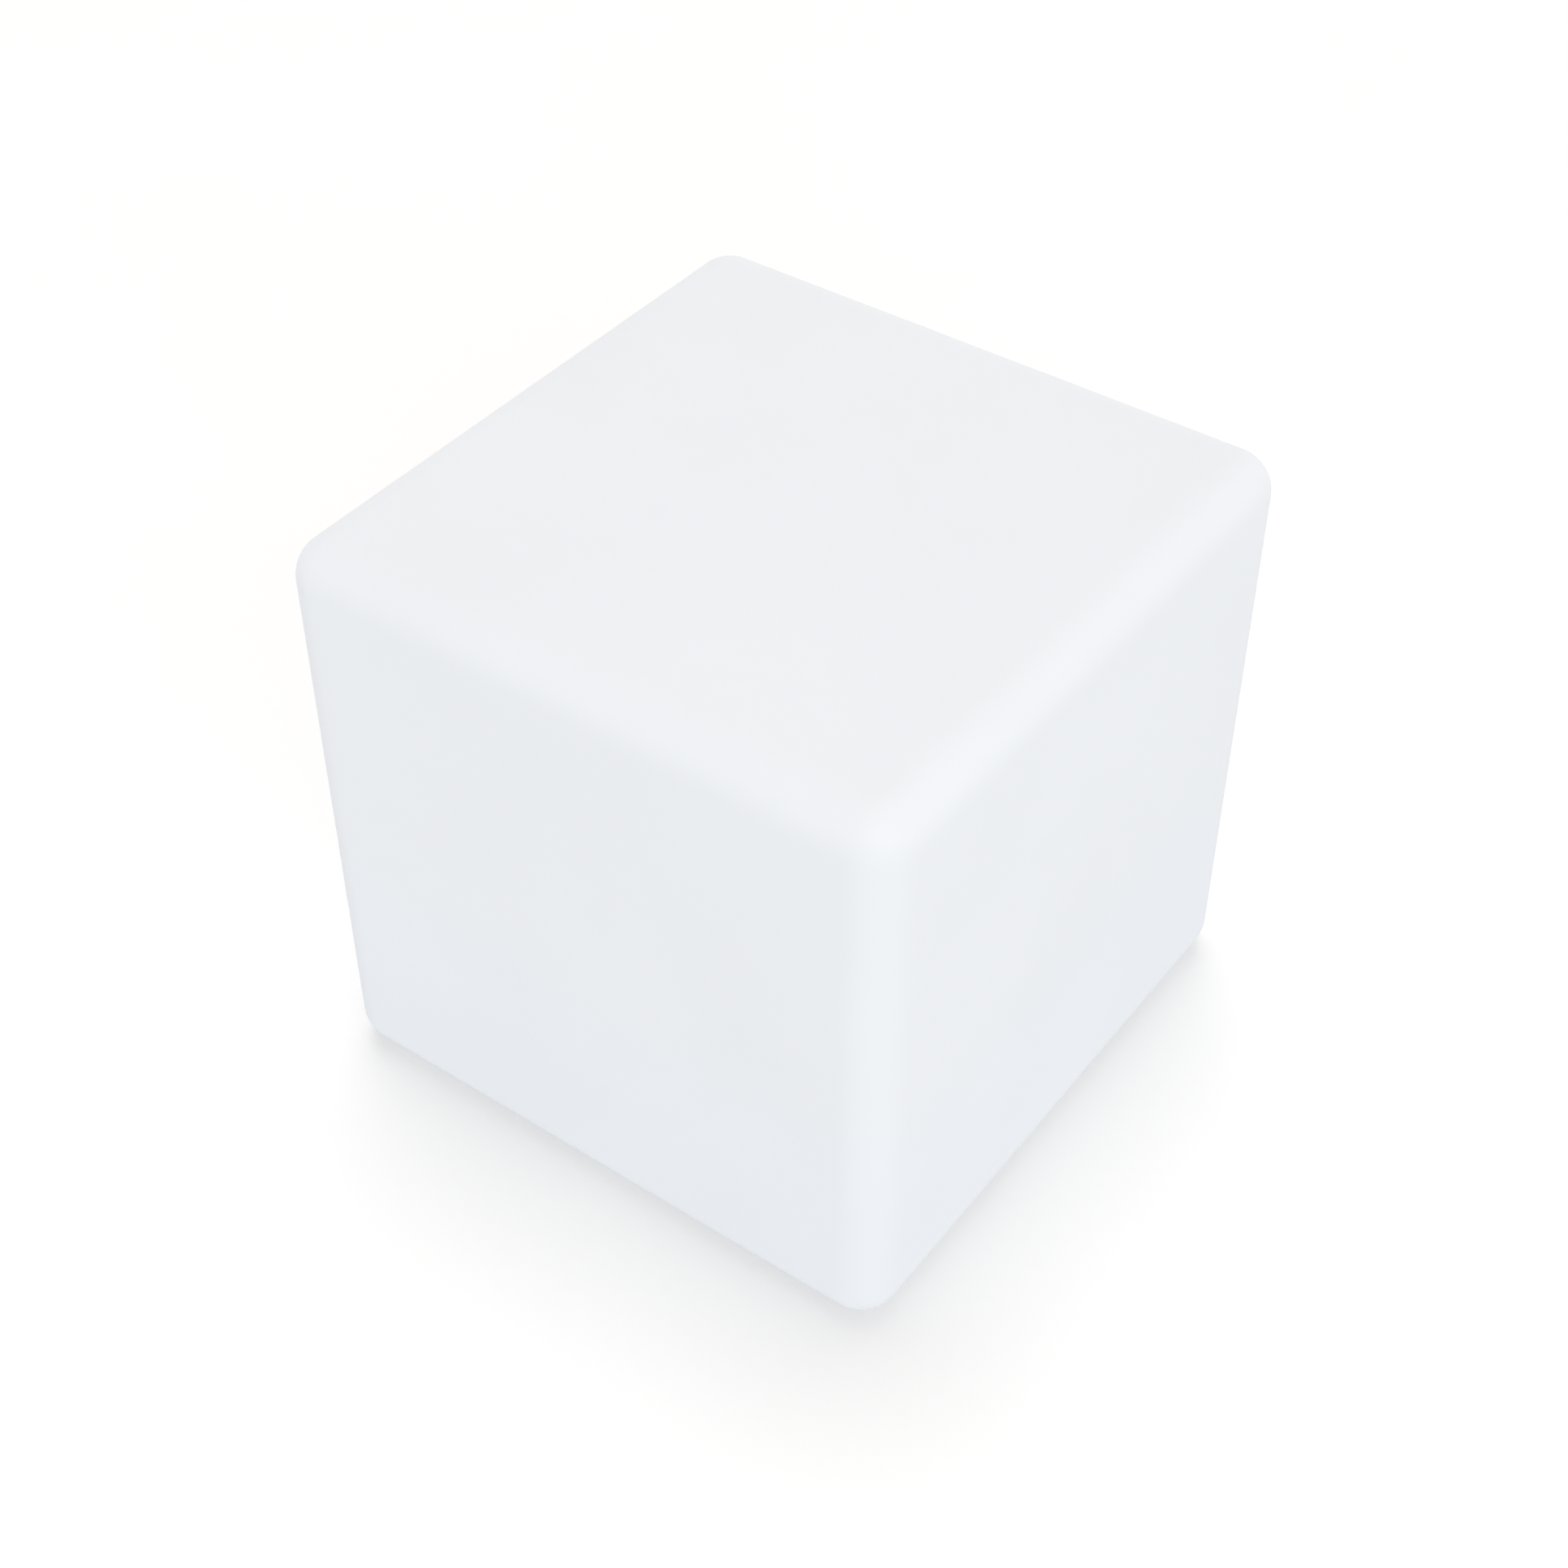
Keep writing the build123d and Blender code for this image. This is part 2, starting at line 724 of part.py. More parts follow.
def button_cap():
    """Button, retaining shoulder and stem in one turned piece."""
    shoulder_low = shoulder_z + end_gap
    shoulder_high = shoulder_low + shoulder_t
    cap = rod(button_r, button_z, shoulder_low)
    cap = round_edges(cap, button_round, button_z - fit, button_z + fit, button_r)
    cap += rod(shoulder_r, shoulder_low, shoulder_high)
    cap += rod(stem_r, shoulder_high, contact_z)
    return Pos(switch_x, 0, 0) * cap


def switch_contact():
    disc = rod(contact_r, contact_z, contact_z + contact_t)
    return Pos(switch_x, 0, 0) * disc


def switch_terminals():
    pin = rod(terminal_r, terminal_z, barrel_end + terminal_rise)
    return Part() + [Pos(switch_x, 0, 0) * place * pin for place in terminal_places()]


def button_spring():
    """Compression spring between the button's shoulder and the back of the chamber."""
    low = shoulder_z + end_gap + shoulder_t + spring_wire_r + end_gap
    high = chamber_top - spring_wire_r - end_gap
    path = Helix(pitch=(high - low) / spring_turns, height=high - low, radius=spring_mean_r)
    section = Plane(origin=path @ 0, z_dir=path % 0) * RegularPolygon(spring_wire_r, 6)
    coil = sweep(section, path=path, is_frenet=True)
    return Pos(switch_x, 0, low) * coil


# ------------------------------------------------------------------ charging port
def jack_terminal_places():
    return [Pos(port_x, i * terminal_pitch, 0) for i in (-1, 0, 1)]


def charging_jack():
    """Moulded jack with its round nose and barrel bore, mouth down."""
    body = slab(jack_x, jack_y, jack_z + jack_nose_len, jack_board_z)
    body = chamfer(body.edges().filter_by(Axis.Z), jack_corner)
    body += rod(jack_nose_r, jack_z, jack_z + jack_nose_len)
    body -= rod(barrel_bore_r, jack_z - fit, jack_z + barrel_bore_len)
    window = slab(window_x, window_y, jack_z + window_low, jack_board_z - window_high)
    window = Pos(-jack_x / 2, 0, 0) * window
    return Pos(port_x, 0, 0) * (body - window)


def charging_pin():
    """Centre contact, standing in the barrel bore with its end a little inside the mouth."""
    foot = jack_z + barrel_bore_len
    tip = foot - jack_pin_len
    nose = jack_pin_r * 0.4
    pin = turned((0, tip), (jack_pin_r - nose, tip), (jack_pin_r, tip + nose), (jack_pin_r, foot), (0, foot))
    return Pos(port_x, 0, 0) * pin


def jack_terminals():
    blade = slab(terminal_w, terminal_t, jack_board_z, jack_board_z + board_t + terminal_proud)
    return Part() + [place * blade for place in jack_terminal_places()]


def jack_board():
    low = jack_board_z
    high = low + board_t
    board = Pos(port_x, 0, 0) * rounded_slab(jack_board_x, jack_board_y, jack_board_round, low, high)
    slot = slab(terminal_w + 2 * fit, terminal_t + 2 * fit, low, high)
    hole = rod(small_screw_r + hole_gap, low, high)
    board -= [place * slot for place in jack_terminal_places()]
    return board - [place * hole for place in jack_post_places()]


def charge_led():
    return Pos(port_x, pipe_y, 0) * slab(diode_x, diode_y, jack_board_z - diode_h, jack_board_z)


def charge_light_pipe():
    """Clear rod from the charge diode down to the cover plate, with a collar that stops it."""
    pipe = rod(pipe_r, face_z + head_sink, jack_board_z - diode_h - pipe_gap)
    pipe += rod(pipe_collar_r, plate_z, plate_z + pipe_collar_t)
    return Pos(port_x, pipe_y, 0) * pipe


# ------------------------------------------------------------------ port cover
def bead(radius, width):
    return Pos(pivot_x, 0, pivot_z) * Rot(90, 0, 0) * Cylinder(radius, width)


def port_cover():
    """Soft plug, disc, pull tab and strap, up to the bead that the strap bends at."""
    under = dish_z - disc_t
    disc = rod(disc_r, under, dish_z)
    tab_len = disc_r + tab_reach
    tab = Pos(-tab_len / 2, 0, 0) * slab(tab_len, tab_width, under, dish_z - tab_relief)
    plate = Pos(port_x, 0, 0) * (disc + tab)
    outer = plate.edges().filter_by(Axis.Z).sort_by(Axis.X)[:2]
    plate = fillet(outer, tab_round)
    tip_z = dish_z + cover_plug_len
    lip_z = dish_z + cover_lip_at
    plug = turned(
        (0, dish_z - fit),
        (cover_plug_r, dish_z - fit),
        (cover_plug_r, lip_z - cover_lip_t / 2),
        (cover_lip_r, lip_z),
        (cover_plug_r, lip_z + cover_lip_t / 2),
        (cover_tip_r, tip_z),
        (cover_tip_r - cover_plug_wall, tip_z),
        (cover_tip_r - cover_plug_wall, dish_z),
        (0, dish_z),
    )
    strap_low = pivot_z - band_t / 2
    strap = Pos((port_x + pivot_x) / 2, 0, 0) * slab(pivot_dx, strap_width, strap_low, strap_low + band_t)
    return plate + Pos(port_x, 0, 0) * plug + strap + bead(bead_r, strap_width)


def port_cover_anchor():
    """Fixed end of the cover's strap: a pad in the dish and a stud with a mushroom head."""
    near = pivot_x + anchor_len
    socket = bead_r + bead_gap
    lip_x = pivot_x + socket / 2
    side_view = Polyline(
        (lip_x, dish_z),
        (near, dish_z),
        (near, pivot_z - bead_r),
        (pivot_x + 2.4 * socket, pivot_z - bead_r),
        (lip_x, pivot_z + bead_gap),
        close=True,
    )
    pad = extrude(Plane.XZ * make_face(side_view), strap_width / 2, both=True)
    pad -= bead(socket, strap_width + 1)
    stud = rod(anchor_stud_r, dish_z - fit, plate_z + anchor_gap)
    head = turned(
        (0, plate_z + anchor_gap),
        (anchor_head_r, plate_z + anchor_gap),
        (anchor_stud_r, plate_z + anchor_gap + anchor_head_t),
        (0, plate_z + anchor_gap + anchor_head_t),
    )
    return pad + Pos(anchor_x, 0, 0) * (stud + head)


# ------------------------------------------------------------------ light head
def heat_spreader():
    disc = rod(cup_r - cup_wall - spreader_gap, spreader_z, cup_top)
    holes = [place * rod(dome_screw_r + hole_gap, spreader_z, cup_top) for place in dome_screw_places()]
    holes += [place * rod(small_screw_r + fit, spreader_z, cup_top) for place in led_screw_places()]
    slot = slab(header_x + 2 * header_gap, header_y + 2 * header_gap, spreader_z, cup_top)
    return disc - holes - Pos(0, header_place_y, 0) * slot


def led_screw_places():
    return round_the_axis(led_screw_n, led_screw_circle, start=30)


def led_board():
    board = rod(led_board_r, cup_top, cup_top + board_t)
    hole = rod(small_screw_r + hole_gap, cup_top, cup_top + board_t)
    board -= [place * hole for place in led_screw_places()]
    return board - pin_slot(cup_top, cup_top + board_t)


def light_package(size, tall, lens_r):
    """A square light package with a shallow round window sunk in its top."""
    body = slab(size, size, 0, tall)
    return body - rod(lens_r, tall - window_depth, tall)


def colour_leds():
    package = Pos(0, 0, cup_top + board_t) * light_package(colour_led_size, colour_led_h, colour_lens_r)
    return Part() + [place * package for place in round_the_axis(colour_led_n, colour_led_circle)]


def white_leds():
    package = Pos(0, 0, cup_top + board_t) * light_package(white_led_size, white_led_h, white_lens_r)
    return Part() + [place * package for place in round_the_axis(white_led_n, white_led_circle)]


def ir_receiver():
    """Remote-control receiver, its round lens facing up."""
    body = slab(receiver_x, receiver_y, 0, receiver_h)
    lens = Pos(0, 0, receiver_h) * Sphere(receiver_lens_r)
    return Pos(0, 0, cup_top + board_t) * (body + lens)


def light_dome():
    """Frosted dome: a spherical cap of even thickness on a flat flange, with a seal groove."""
    inner = dome_r - dome_t
    sphere = (dome_r**2 + dome_h**2) / (2 * dome_h)
    centre = flange_top + dome_h - sphere
    cap = Pos(0, 0, centre) * (Sphere(sphere) - Sphere(sphere - dome_t))
    keep = rod(dome_r + dome_t, flange_top - fit, flange_top + dome_h + dome_t)
    inner_edge = sqrt((sphere - dome_t) ** 2 - (flange_top - fit - centre) ** 2)
    flange = tube(cup_r, min(inner, inner_edge), cup_top, flange_top)
    dome = cap & keep
    dome += flange
    hole = rod(dome_screw_r + hole_gap, cup_top, flange_top)
    dome -= [place * hole for place in dome_screw_places()]
    wide = seal_r + seal_side
    groove_top = cup_top + 2 * seal_r + seal_squeeze
    return dome - tube(seal_circle + wide, seal_circle - wide, cup_top, groove_top)


def dome_seal():
    return Pos(0, 0, cup_top + seal_r + seal_squeeze / 2) * Torus(seal_circle, seal_r)


def dome_screws():
    screw = Rot(180, 0, 0) * pan_screw(dome_screw_r, dome_screw_len, dome_head_r, dome_head_h)
    return Part() + [place * Pos(0, 0, flange_top) * screw for place in dome_screw_places()]


# ------------------------------------------------------------------ internal leads
def wire(points):
    """A round wire along straight runs joined by tangent arcs as large as the runs allow."""
    corners = [Vector(*point) for point in points]
    runs = [b - a for a, b in zip(corners, corners[1:])]
    radii = [
        0.45 * min(a.length, b.length) / tan(radians(a.get_angle(b) / 2))
        for a, b in zip(runs, runs[1:])
    ]
    path = FilletPolyline(*corners, radius=radii)
    round_wire = sweep(Plane(origin=path @ 0, z_dir=path % 0) * Circle(wire_d / 2), path=path)
    section = pi * wire_d**2 / 4
    print("radii", [round(r, 1) for r in radii], "volume", round_wire.volume, section * path.length)
    return round_wire


def battery_lead():
    """From the two outlet tabs, out and up past the board's edge, into its connector."""
    start = cell_len / 2 + tab_t + solder_gap
    out = start + loop_out
    high = board_top + wire_z
    return Part() + [
        wire([(x, start, cell_z), (x, out, cell_z + loop_up), (x, out, high), (x, board_y / 2, high)])
        for x in (-wire_pitch / 2, wire_pitch / 2)
    ]


def charge_lead():
    """From the connector on the jack's board up and across to the control board."""
    low = jack_board_z + board_t + standing_plug_h
    high = board_top + wire_z
    return Part() + [
        wire([(jack_plug_x, y, low), (jack_plug_x, y, high), (-board_x / 2, y, high)])
        for y in (jack_plug_y - wire_pitch / 2, jack_plug_y + wire_pitch / 2)
    ]


def switch_lead():
    """From the switch's terminals up and across to the control board."""
    low = barrel_end + terminal_rise
    high = board_top + wire_z
    return Part() + [
        wire([(switch_x, y, low), (switch_x, y, high), (board_x / 2, y, high)])
        for y in (-wire_pitch / 2, wire_pitch / 2)
    ]


# ------------------------------------------------------------------ write every piece
PIECES = {
    "cube_shell": cube_shell,
    "threaded_inserts": threaded_inserts,
    "base_gasket": base_gasket,
    "light_base": light_base,
    "base_screws": base_screws,
    "battery_cells": battery_cells,
    "battery_tabs": battery_tabs,
    "battery_strap": battery_strap,
    "strap_screws": lambda: screws_down(strap_places(), cell_z + strap_t, small_screw_len),
    "control_board": control_board,
    "control_board_screws": lambda: screws_down(board_places(), board_top, small_screw_len),
    "controller_chip": controller_chip,
    "capacitors": capacitors,
    "power_inductor": power_inductor,
    "board_connectors": board_connectors,
    "led_header": led_header,
    "switch_body": switch_body,
    "switch_seal": switch_seal,
    "switch_nut": switch_nut,
    "button_cap": button_cap,
    "switch_contact": switch_contact,
    "switch_terminals": switch_terminals,
    "button_spring": button_spring,
    "charging_jack": charging_jack,
    "charging_pin": charging_pin,
    "jack_terminals": jack_terminals,
    "jack_board": jack_board,
    "jack_board_screws": lambda: screws_down(jack_post_places(), jack_board_z + board_t, small_screw_len),
    "charge_led": charge_led,
    "charge_light_pipe": charge_light_pipe,
    "port_cover": port_cover,
    "port_cover_anchor": port_cover_anchor,
    "heat_spreader": heat_spreader,
    "led_board": led_board,
    "led_board_screws": lambda: screws_down(led_screw_places(), cup_top + board_t, led_screw_len),
    "colour_leds": colour_leds,
    "white_leds": white_leds,
    "ir_receiver": ir_receiver,
    "light_dome": light_dome,
    "dome_seal": dome_seal,
    "dome_screws": dome_screws,
    "battery_lead": battery_lead,
    "charge_lead": charge_lead,
    "switch_lead": switch_lead,
}

os.makedirs("parts", exist_ok=True)
for name, make in PIECES.items():
    export_step(make(), f"parts/{name}.step")
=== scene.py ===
# %% [markdown]
# # A cube light, dressed for its picture
#
# The lamp is a hollow white cube of moulded polyethylene. It stands on its own flat underside,
# and a rechargeable light unit is screwed up into a round recess there. The engineering model
# comes first and never moves: it says where each part sits and what turns or slides. This file
# gives every part its looks around that frame: finer shapes, real finishes, light and a camera.

# %% The frame
import bpy
import bmesh
from math import atan, cos, pi, radians, sin, sqrt
from mathutils import Matrix, Vector


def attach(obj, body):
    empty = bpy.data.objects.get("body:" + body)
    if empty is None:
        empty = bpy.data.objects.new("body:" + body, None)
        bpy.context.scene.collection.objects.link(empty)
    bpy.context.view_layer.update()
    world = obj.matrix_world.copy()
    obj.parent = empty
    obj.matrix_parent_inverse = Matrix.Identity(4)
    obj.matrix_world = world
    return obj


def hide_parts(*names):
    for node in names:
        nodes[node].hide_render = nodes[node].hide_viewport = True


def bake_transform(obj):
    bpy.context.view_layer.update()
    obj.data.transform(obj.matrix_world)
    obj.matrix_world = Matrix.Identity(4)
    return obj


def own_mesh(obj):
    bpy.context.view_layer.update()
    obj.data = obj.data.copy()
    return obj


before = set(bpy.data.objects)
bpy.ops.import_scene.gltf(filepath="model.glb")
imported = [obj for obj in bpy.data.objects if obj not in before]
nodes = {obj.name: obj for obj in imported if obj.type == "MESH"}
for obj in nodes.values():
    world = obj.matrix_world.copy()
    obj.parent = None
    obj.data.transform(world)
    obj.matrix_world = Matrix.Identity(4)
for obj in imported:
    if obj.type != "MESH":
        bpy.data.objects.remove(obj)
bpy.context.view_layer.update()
mm = 0.001


def placed(name, data):
    """Puts a new object into the scene, at the origin."""
    thing = bpy.data.objects.new(name, data)
    bpy.context.scene.collection.objects.link(thing)
    return thing


# %% [markdown]
# ## The camera
#
# The picture was taken from the front right, looking down by about 42 degrees, with a short
# telephoto lens. Eight corners of the cube, matched to where they fall in the frame, gave the
# place and the lens. The camera looks along one direction with no tilt, so a quaternion made
# from that direction is all the turning it needs.

# %% Camera
EYE = Vector((0.67115, -0.93183, 1.21919))
LOOK = Vector((-0.43494, 0.59826, -0.67299))
SENSOR_WIDTH, LENS = 36.0, 59.16


def aimed(thing, way):
    """Turns a camera or a lamp to look along a direction, with no tilt."""
    thing.rotation_mode = "QUATERNION"
    thing.rotation_quaternion = way.to_track_quat("-Z", "Y")


camera = placed("camera", bpy.data.cameras.new("camera"))
camera.data.sensor_width, camera.data.lens = SENSOR_WIDTH, LENS
camera.location = EYE
aimed(camera, LOOK)
bpy.context.scene.camera = camera
print("camera", [round(v, 3) for v in EYE], "m from the middle of the underside")

# %% [markdown]
# ## Node trees written as Python
#
# Finishes and Geometry Nodes are both graphs of small nodes. Linking each by hand takes a line
# a wire, so two small classes do it. `Tree.add` makes any node: its settings first, because they
# decide which sockets it has, then the values or links of its sockets. `Wire` is one output
# socket, and arithmetic written on it adds the Math node that does it. On a vector or a colour
# the same operators add Vector Math, since a plain Math node would turn a colour grey.

# %% Wires and trees
class Wire:
    """An output socket that can be reckoned with."""

    def __init__(self, tree, socket):
        self.tree, self.socket = tree, socket

    def get(self, name):
        """Another output of the same node."""
        return Wire(self.tree, self.socket.node.outputs[name])

    def __add__(self, other): return self.tree.maths("ADD", self, other)
    def __radd__(self, other): return self.tree.maths("ADD", other, self)
    def __sub__(self, other): return self.tree.maths("SUBTRACT", self, other)
    def __rsub__(self, other): return self.tree.maths("SUBTRACT", other, self)
    def __mul__(self, other): return self.tree.maths("MULTIPLY", self, other)
    def __rmul__(self, other): return self.tree.maths("MULTIPLY", other, self)
    def __truediv__(self, other): return self.tree.maths("DIVIDE", self, other)
    def __rtruediv__(self, other): return self.tree.maths("DIVIDE", other, self)
    def __pow__(self, other): return self.tree.maths("POWER", self, other)


class Tree:
    """A shader or geometry tree that is written as expressions."""

    def __init__(self, nodes_and_links):
        self.tree = nodes_and_links

    def add(self, kind, settings=None, sockets=None):
        """Makes a node: its settings, then its sockets, and returns its first output."""
        node = self.tree.nodes.new(kind)
        for key, value in (settings or {}).items():
            if key == "stops":
                self._stops(node.color_ramp, value)
            else:
                setattr(node, key, value)
        for key, value in (sockets or {}).items():
            self.join(self._input(node, key), value)
        if not node.outputs:
            return node
        return Wire(self, next(s for s in node.outputs if s.enabled))

    def join(self, socket, value):
        """Links a socket to a wire or to several, or sets its value."""
        if isinstance(value, (list, tuple)) and any(isinstance(v, Wire) for v in value):
            for part in value:
                self.tree.links.new(part.socket, socket)
        elif isinstance(value, Wire):
            self.tree.links.new(value.socket, socket)
        elif isinstance(value, (int, float)) and hasattr(socket.default_value, "__len__"):
            socket.default_value = [value] * len(socket.default_value)
        else:
            socket.default_value = value

    def maths(self, operation, *terms):
        """A Math node, or Vector Math where a term is a vector or a colour."""
        kind = "ShaderNodeMath"
        for term in terms:
            wide = isinstance(term, Wire) and term.socket.type in ("VECTOR", "RGBA")
            if wide or isinstance(term, tuple):
                kind = "ShaderNodeVectorMath"
        return self.add(kind, {"operation": operation}, dict(enumerate(terms)))

    def _input(self, node, key):
        if isinstance(key, int):
            return node.inputs[key]
        return next(s for s in node.inputs if s.name == key and s.enabled)

    def _stops(self, ramp, stops):
        while len(ramp.elements) < len(stops):
            ramp.elements.new(1.0)
        for element, (place, colour) in zip(ramp.elements, stops):
            element.position = place
            element.color = colour if isinstance(colour, tuple) else (colour, colour, colour, 1.0)

    def parts(self, vector):
        """The three parts of a vector."""
        node = self.add("ShaderNodeSeparateXYZ", None, {0: vector})
        return [node.get(axis) for axis in "XYZ"]

    def vector(self, x=0.0, y=0.0, z=0.0):
        """A vector from its three parts."""
        return self.add("ShaderNodeCombineXYZ", None, {0: x, 1: y, 2: z})

    def dot(self, a, b):
        return self.maths("DOT_PRODUCT", a, b).get("Value")

    def least(self, a, b):
        return self.maths("MINIMUM", a, b)

    def most(self, a, b):
        return self.maths("MAXIMUM", a, b)


# %% [markdown]
# ## Finishes
#
# No real surface has one flat colour, so each finish is worked out from noise in the part's own
# coordinates: a slow drift of tone, a grain at the size that the process leaves, and a bump from
# that grain. `Finish` holds what they share. Its coordinates are in millimetres, so a scale of
# 1 means detail about a millimetre across, and every finish can be read against a real part.

# %% The base of every finish
class Finish(Tree):
    """A Principled material whose pattern is set out in millimetres on the part."""

    def __init__(self, name, colour, roughness, metallic=0.0, constants=None):
        self.material = bpy.data.materials.new(name)
        self.material.use_nodes = True
        super().__init__(self.material.node_tree)
        self.tree.nodes.clear()
        self.out = self.tree.nodes.new("ShaderNodeOutputMaterial")
        self.shader = self.tree.nodes.new("ShaderNodeBsdfPrincipled")
        self.tree.links.new(self.shader.outputs[0], self.out.inputs["Surface"])
        self.colour, self.roughness = (*colour, 1.0), roughness
        self.put("Base Color", self.colour)
        self.put("Roughness", roughness)
        self.put("Metallic", metallic)
        self.material.diffuse_color = self.colour
        for key, value in (constants or {}).items():
            self.put(key, value)
        self.place = self.add("ShaderNodeTexCoord").get("Object") * (1 / mm)
        self.height = None

    def put(self, socket, value):
        self.join(self.shader.inputs[socket], value)

    def noise(self, size, detail=2.0, place=None):
        """Noise of about 0 to 1 whose features are so many millimetres across."""
        sockets = {"Vector": place or self.place, "Scale": 1 / size, "Detail": detail}
        return self.add("ShaderNodeTexNoise", None, sockets)

    def ramp(self, value, *stops):
        return self.add("ShaderNodeValToRGB", {"stops": stops}, {"Fac": value})

    def mix(self, factor, a, b):
        kind = {"data_type": "RGBA"}
        return self.add("ShaderNodeMix", kind, {"Factor": factor, "A": a, "B": b})

    def shade(self, share):
        """The finish's colour, darker or lighter by a share."""
        return tuple(c * (1 + share) for c in self.colour[:3]) + (1.0,)

    def tone(self):
        """The wire that feeds the colour now, to work further on."""
        return Wire(self, self.shader.inputs["Base Color"].links[0].from_socket)

    def drift(self, size, share, rough=0.0):
        """A slow drift of the tone over the part, and of its roughness."""
        tone = self.ramp(self.noise(size), (0.3, 0.0), (0.7, 1.0))
        self.put("Base Color", self.mix(tone, self.shade(-share), self.shade(share)))
        if rough:
            self.put("Roughness", self.roughness + (tone - 0.5) * 2 * rough)
        return self

    def bump(self, value, depth):
        """Adds a bump, its depth in millimetres."""
        sockets = {"Height": value, "Distance": depth * mm, "Strength": 1.0}
        if self.height is not None:
            sockets["Normal"] = self.height
        self.height = self.add("ShaderNodeBump", None, sockets)
        self.put("Normal", self.height)
        return self

    def grain(self, size, depth, detail=2.0):
        return self.bump(self.noise(size, detail), depth)


print("finishes are measured in units of", mm, "m")

# %% [markdown]
# ## Floor and light
#
# The photograph is high key: white floor, white background, and only a soft shadow at the foot.
# The floor has to carry that shadow and nothing else. So it is solid to the camera from above
# and clear to everything else: light reaches the underside through it, and a camera below can
# look up. It has a hole where the cube rests, because two faces in one plane would flicker. The
# cube's white sides throw much light back on the floor, which makes the shade at the foot too
# pale, so a contact shadow is painted into the floor's colour: its tone falls a little over the
# last two centimetres.

# %% Floor
FLOOR_HALF, FOOT_HALF = 8000.0, 175.0
FOOT_SHADOW_REACH, FOOT_SHADOW_DEPTH = 13.0, 0.26
FLOOR_WHITE = (1.059, 1.046, 1.034)


def floor_mesh():
    """A square sheet with a square hole under the cube."""
    mesh = bpy.data.meshes.new("floor")
    corners = [(-1, -1), (1, -1), (1, 1), (-1, 1)]
    points = [(x * h * mm, y * h * mm, 0.0) for h in (FOOT_HALF, FLOOR_HALF) for x, y in corners]
    faces = [(i, i + 4, (i + 1) % 4 + 4, (i + 1) % 4) for i in range(4)]
    mesh.from_pydata(points, [], faces)
    return mesh


floor = placed("floor", floor_mesh())
if floor.data.polygons[0].normal.z < 0:
    floor.data.flip_normals()
pale = Finish("floor_white", FLOOR_WHITE, 0.9, constants={"Specular IOR Level": 0.0})
pale.drift(400.0, 0.004)
# Painted shadow: the floor's colour grows darker close to the cube's footprint.
past = pale.most(pale.maths("ABSOLUTE", pale.place) - (FOOT_HALF, FOOT_HALF, 0.0), (0.0, 0.0, 0.0))
away = pale.maths("LENGTH", past).get("Value")
shade = 1 - pale.maths("EXPONENT", away * (-1 / FOOT_SHADOW_REACH)) * FOOT_SHADOW_DEPTH
pale.put("Base Color", pale.tone() * shade)

# %% What sees the floor
above = 1 - pale.add("ShaderNodeNewGeometry").get("Backfacing")
solid = above * pale.add("ShaderNodeLightPath").get("Is Camera Ray")
clear = pale.add("ShaderNodeBsdfTransparent")
lit_floor = Wire(pale, pale.shader.outputs[0])
both = pale.add("ShaderNodeMixShader", None, {0: solid, 1: clear, 2: lit_floor})
pale.join(pale.out.inputs["Surface"], both)
floor.data.materials.append(pale.material)
print("floor", 2 * FLOOR_HALF * mm, "m wide, with a hole of", 2 * FOOT_HALF, "mm")

# %% [markdown]
# Each side of the lamp shows how much light comes from where it faces, so the sky was worked out
# backwards, from thirteen tones round the cube: top, sides, edges and corners. A soft sky needs
# few numbers for that: a level, a slope and a bowl. A bright patch a little behind overhead lays
# the soft shadow forward on the floor, and one wide lamp over the camera's right shoulder lifts
# the edges that face it. Cameras and mirrors see the sky as plain white, a little dimmer below,
# where a real gloss would show the shaded floor.

# %% Tones of the sky
LEVEL, SLOPE = 1.077, (0.097, -0.045, -0.055)
BOWL, TWIST = (-0.058, 0.0, -0.749), (-0.025, 0.030, 0.054)
PATCH, PATCH_TOWARDS, PATCH_FOCUS = 4.0, (-0.193, 0.197, 0.961), 24
COOLER, COOLER_BELOW = (-0.006, 0.0, 0.010), (-0.03, 0.0, 0.03)
GLOSS_FALL = 0.2

world = bpy.data.worlds.new("sky")
world.use_nodes = True
bpy.context.scene.world = world
sky = Tree(world.node_tree)
sky.tree.nodes.clear()
way = sky.add("ShaderNodeTexCoord").get("Generated")
x, y, z = sky.parts(way)
below = sky.most(-1 * z, 0.0)
products = sky.vector(x * y, y * z, z * x)
level = LEVEL + sky.dot(way, SLOPE) + sky.dot(way * way, BOWL) + sky.dot(products, TWIST)
level = level + PATCH * sky.most(sky.dot(way, PATCH_TOWARDS), 0.0) ** PATCH_FOCUS
tint = (1 - sky.maths("ABSOLUTE", z)) * COOLER + below * COOLER_BELOW + (1.0, 1.0, 1.0)
lit = sky.add("ShaderNodeBackground", None, {"Color": tint, "Strength": level})

# %% What sees the sky
path = sky.add("ShaderNodeLightPath")
seen = sky.most(path.get("Is Camera Ray"), path.get("Is Glossy Ray"))
seen = sky.most(seen, path.get("Is Transmission Ray"))
dimmed = 1 - path.get("Is Glossy Ray") * below * GLOSS_FALL
plain = sky.add("ShaderNodeBackground", None, {"Color": (1, 1, 1, 1), "Strength": dimmed})
mixed = sky.add("ShaderNodeMixShader", None, {0: seen, 1: lit, 2: plain})
sky.add("ShaderNodeOutputWorld", None, {"Surface": mixed})

# %% Lamp
LAMP_WATTS, LAMP_SIZE = 9.0, 1.6
LAMP_AT, LAMP_AIM = Vector((1.9, -1.7, 1.9)), Vector((0, 0, 0.2))

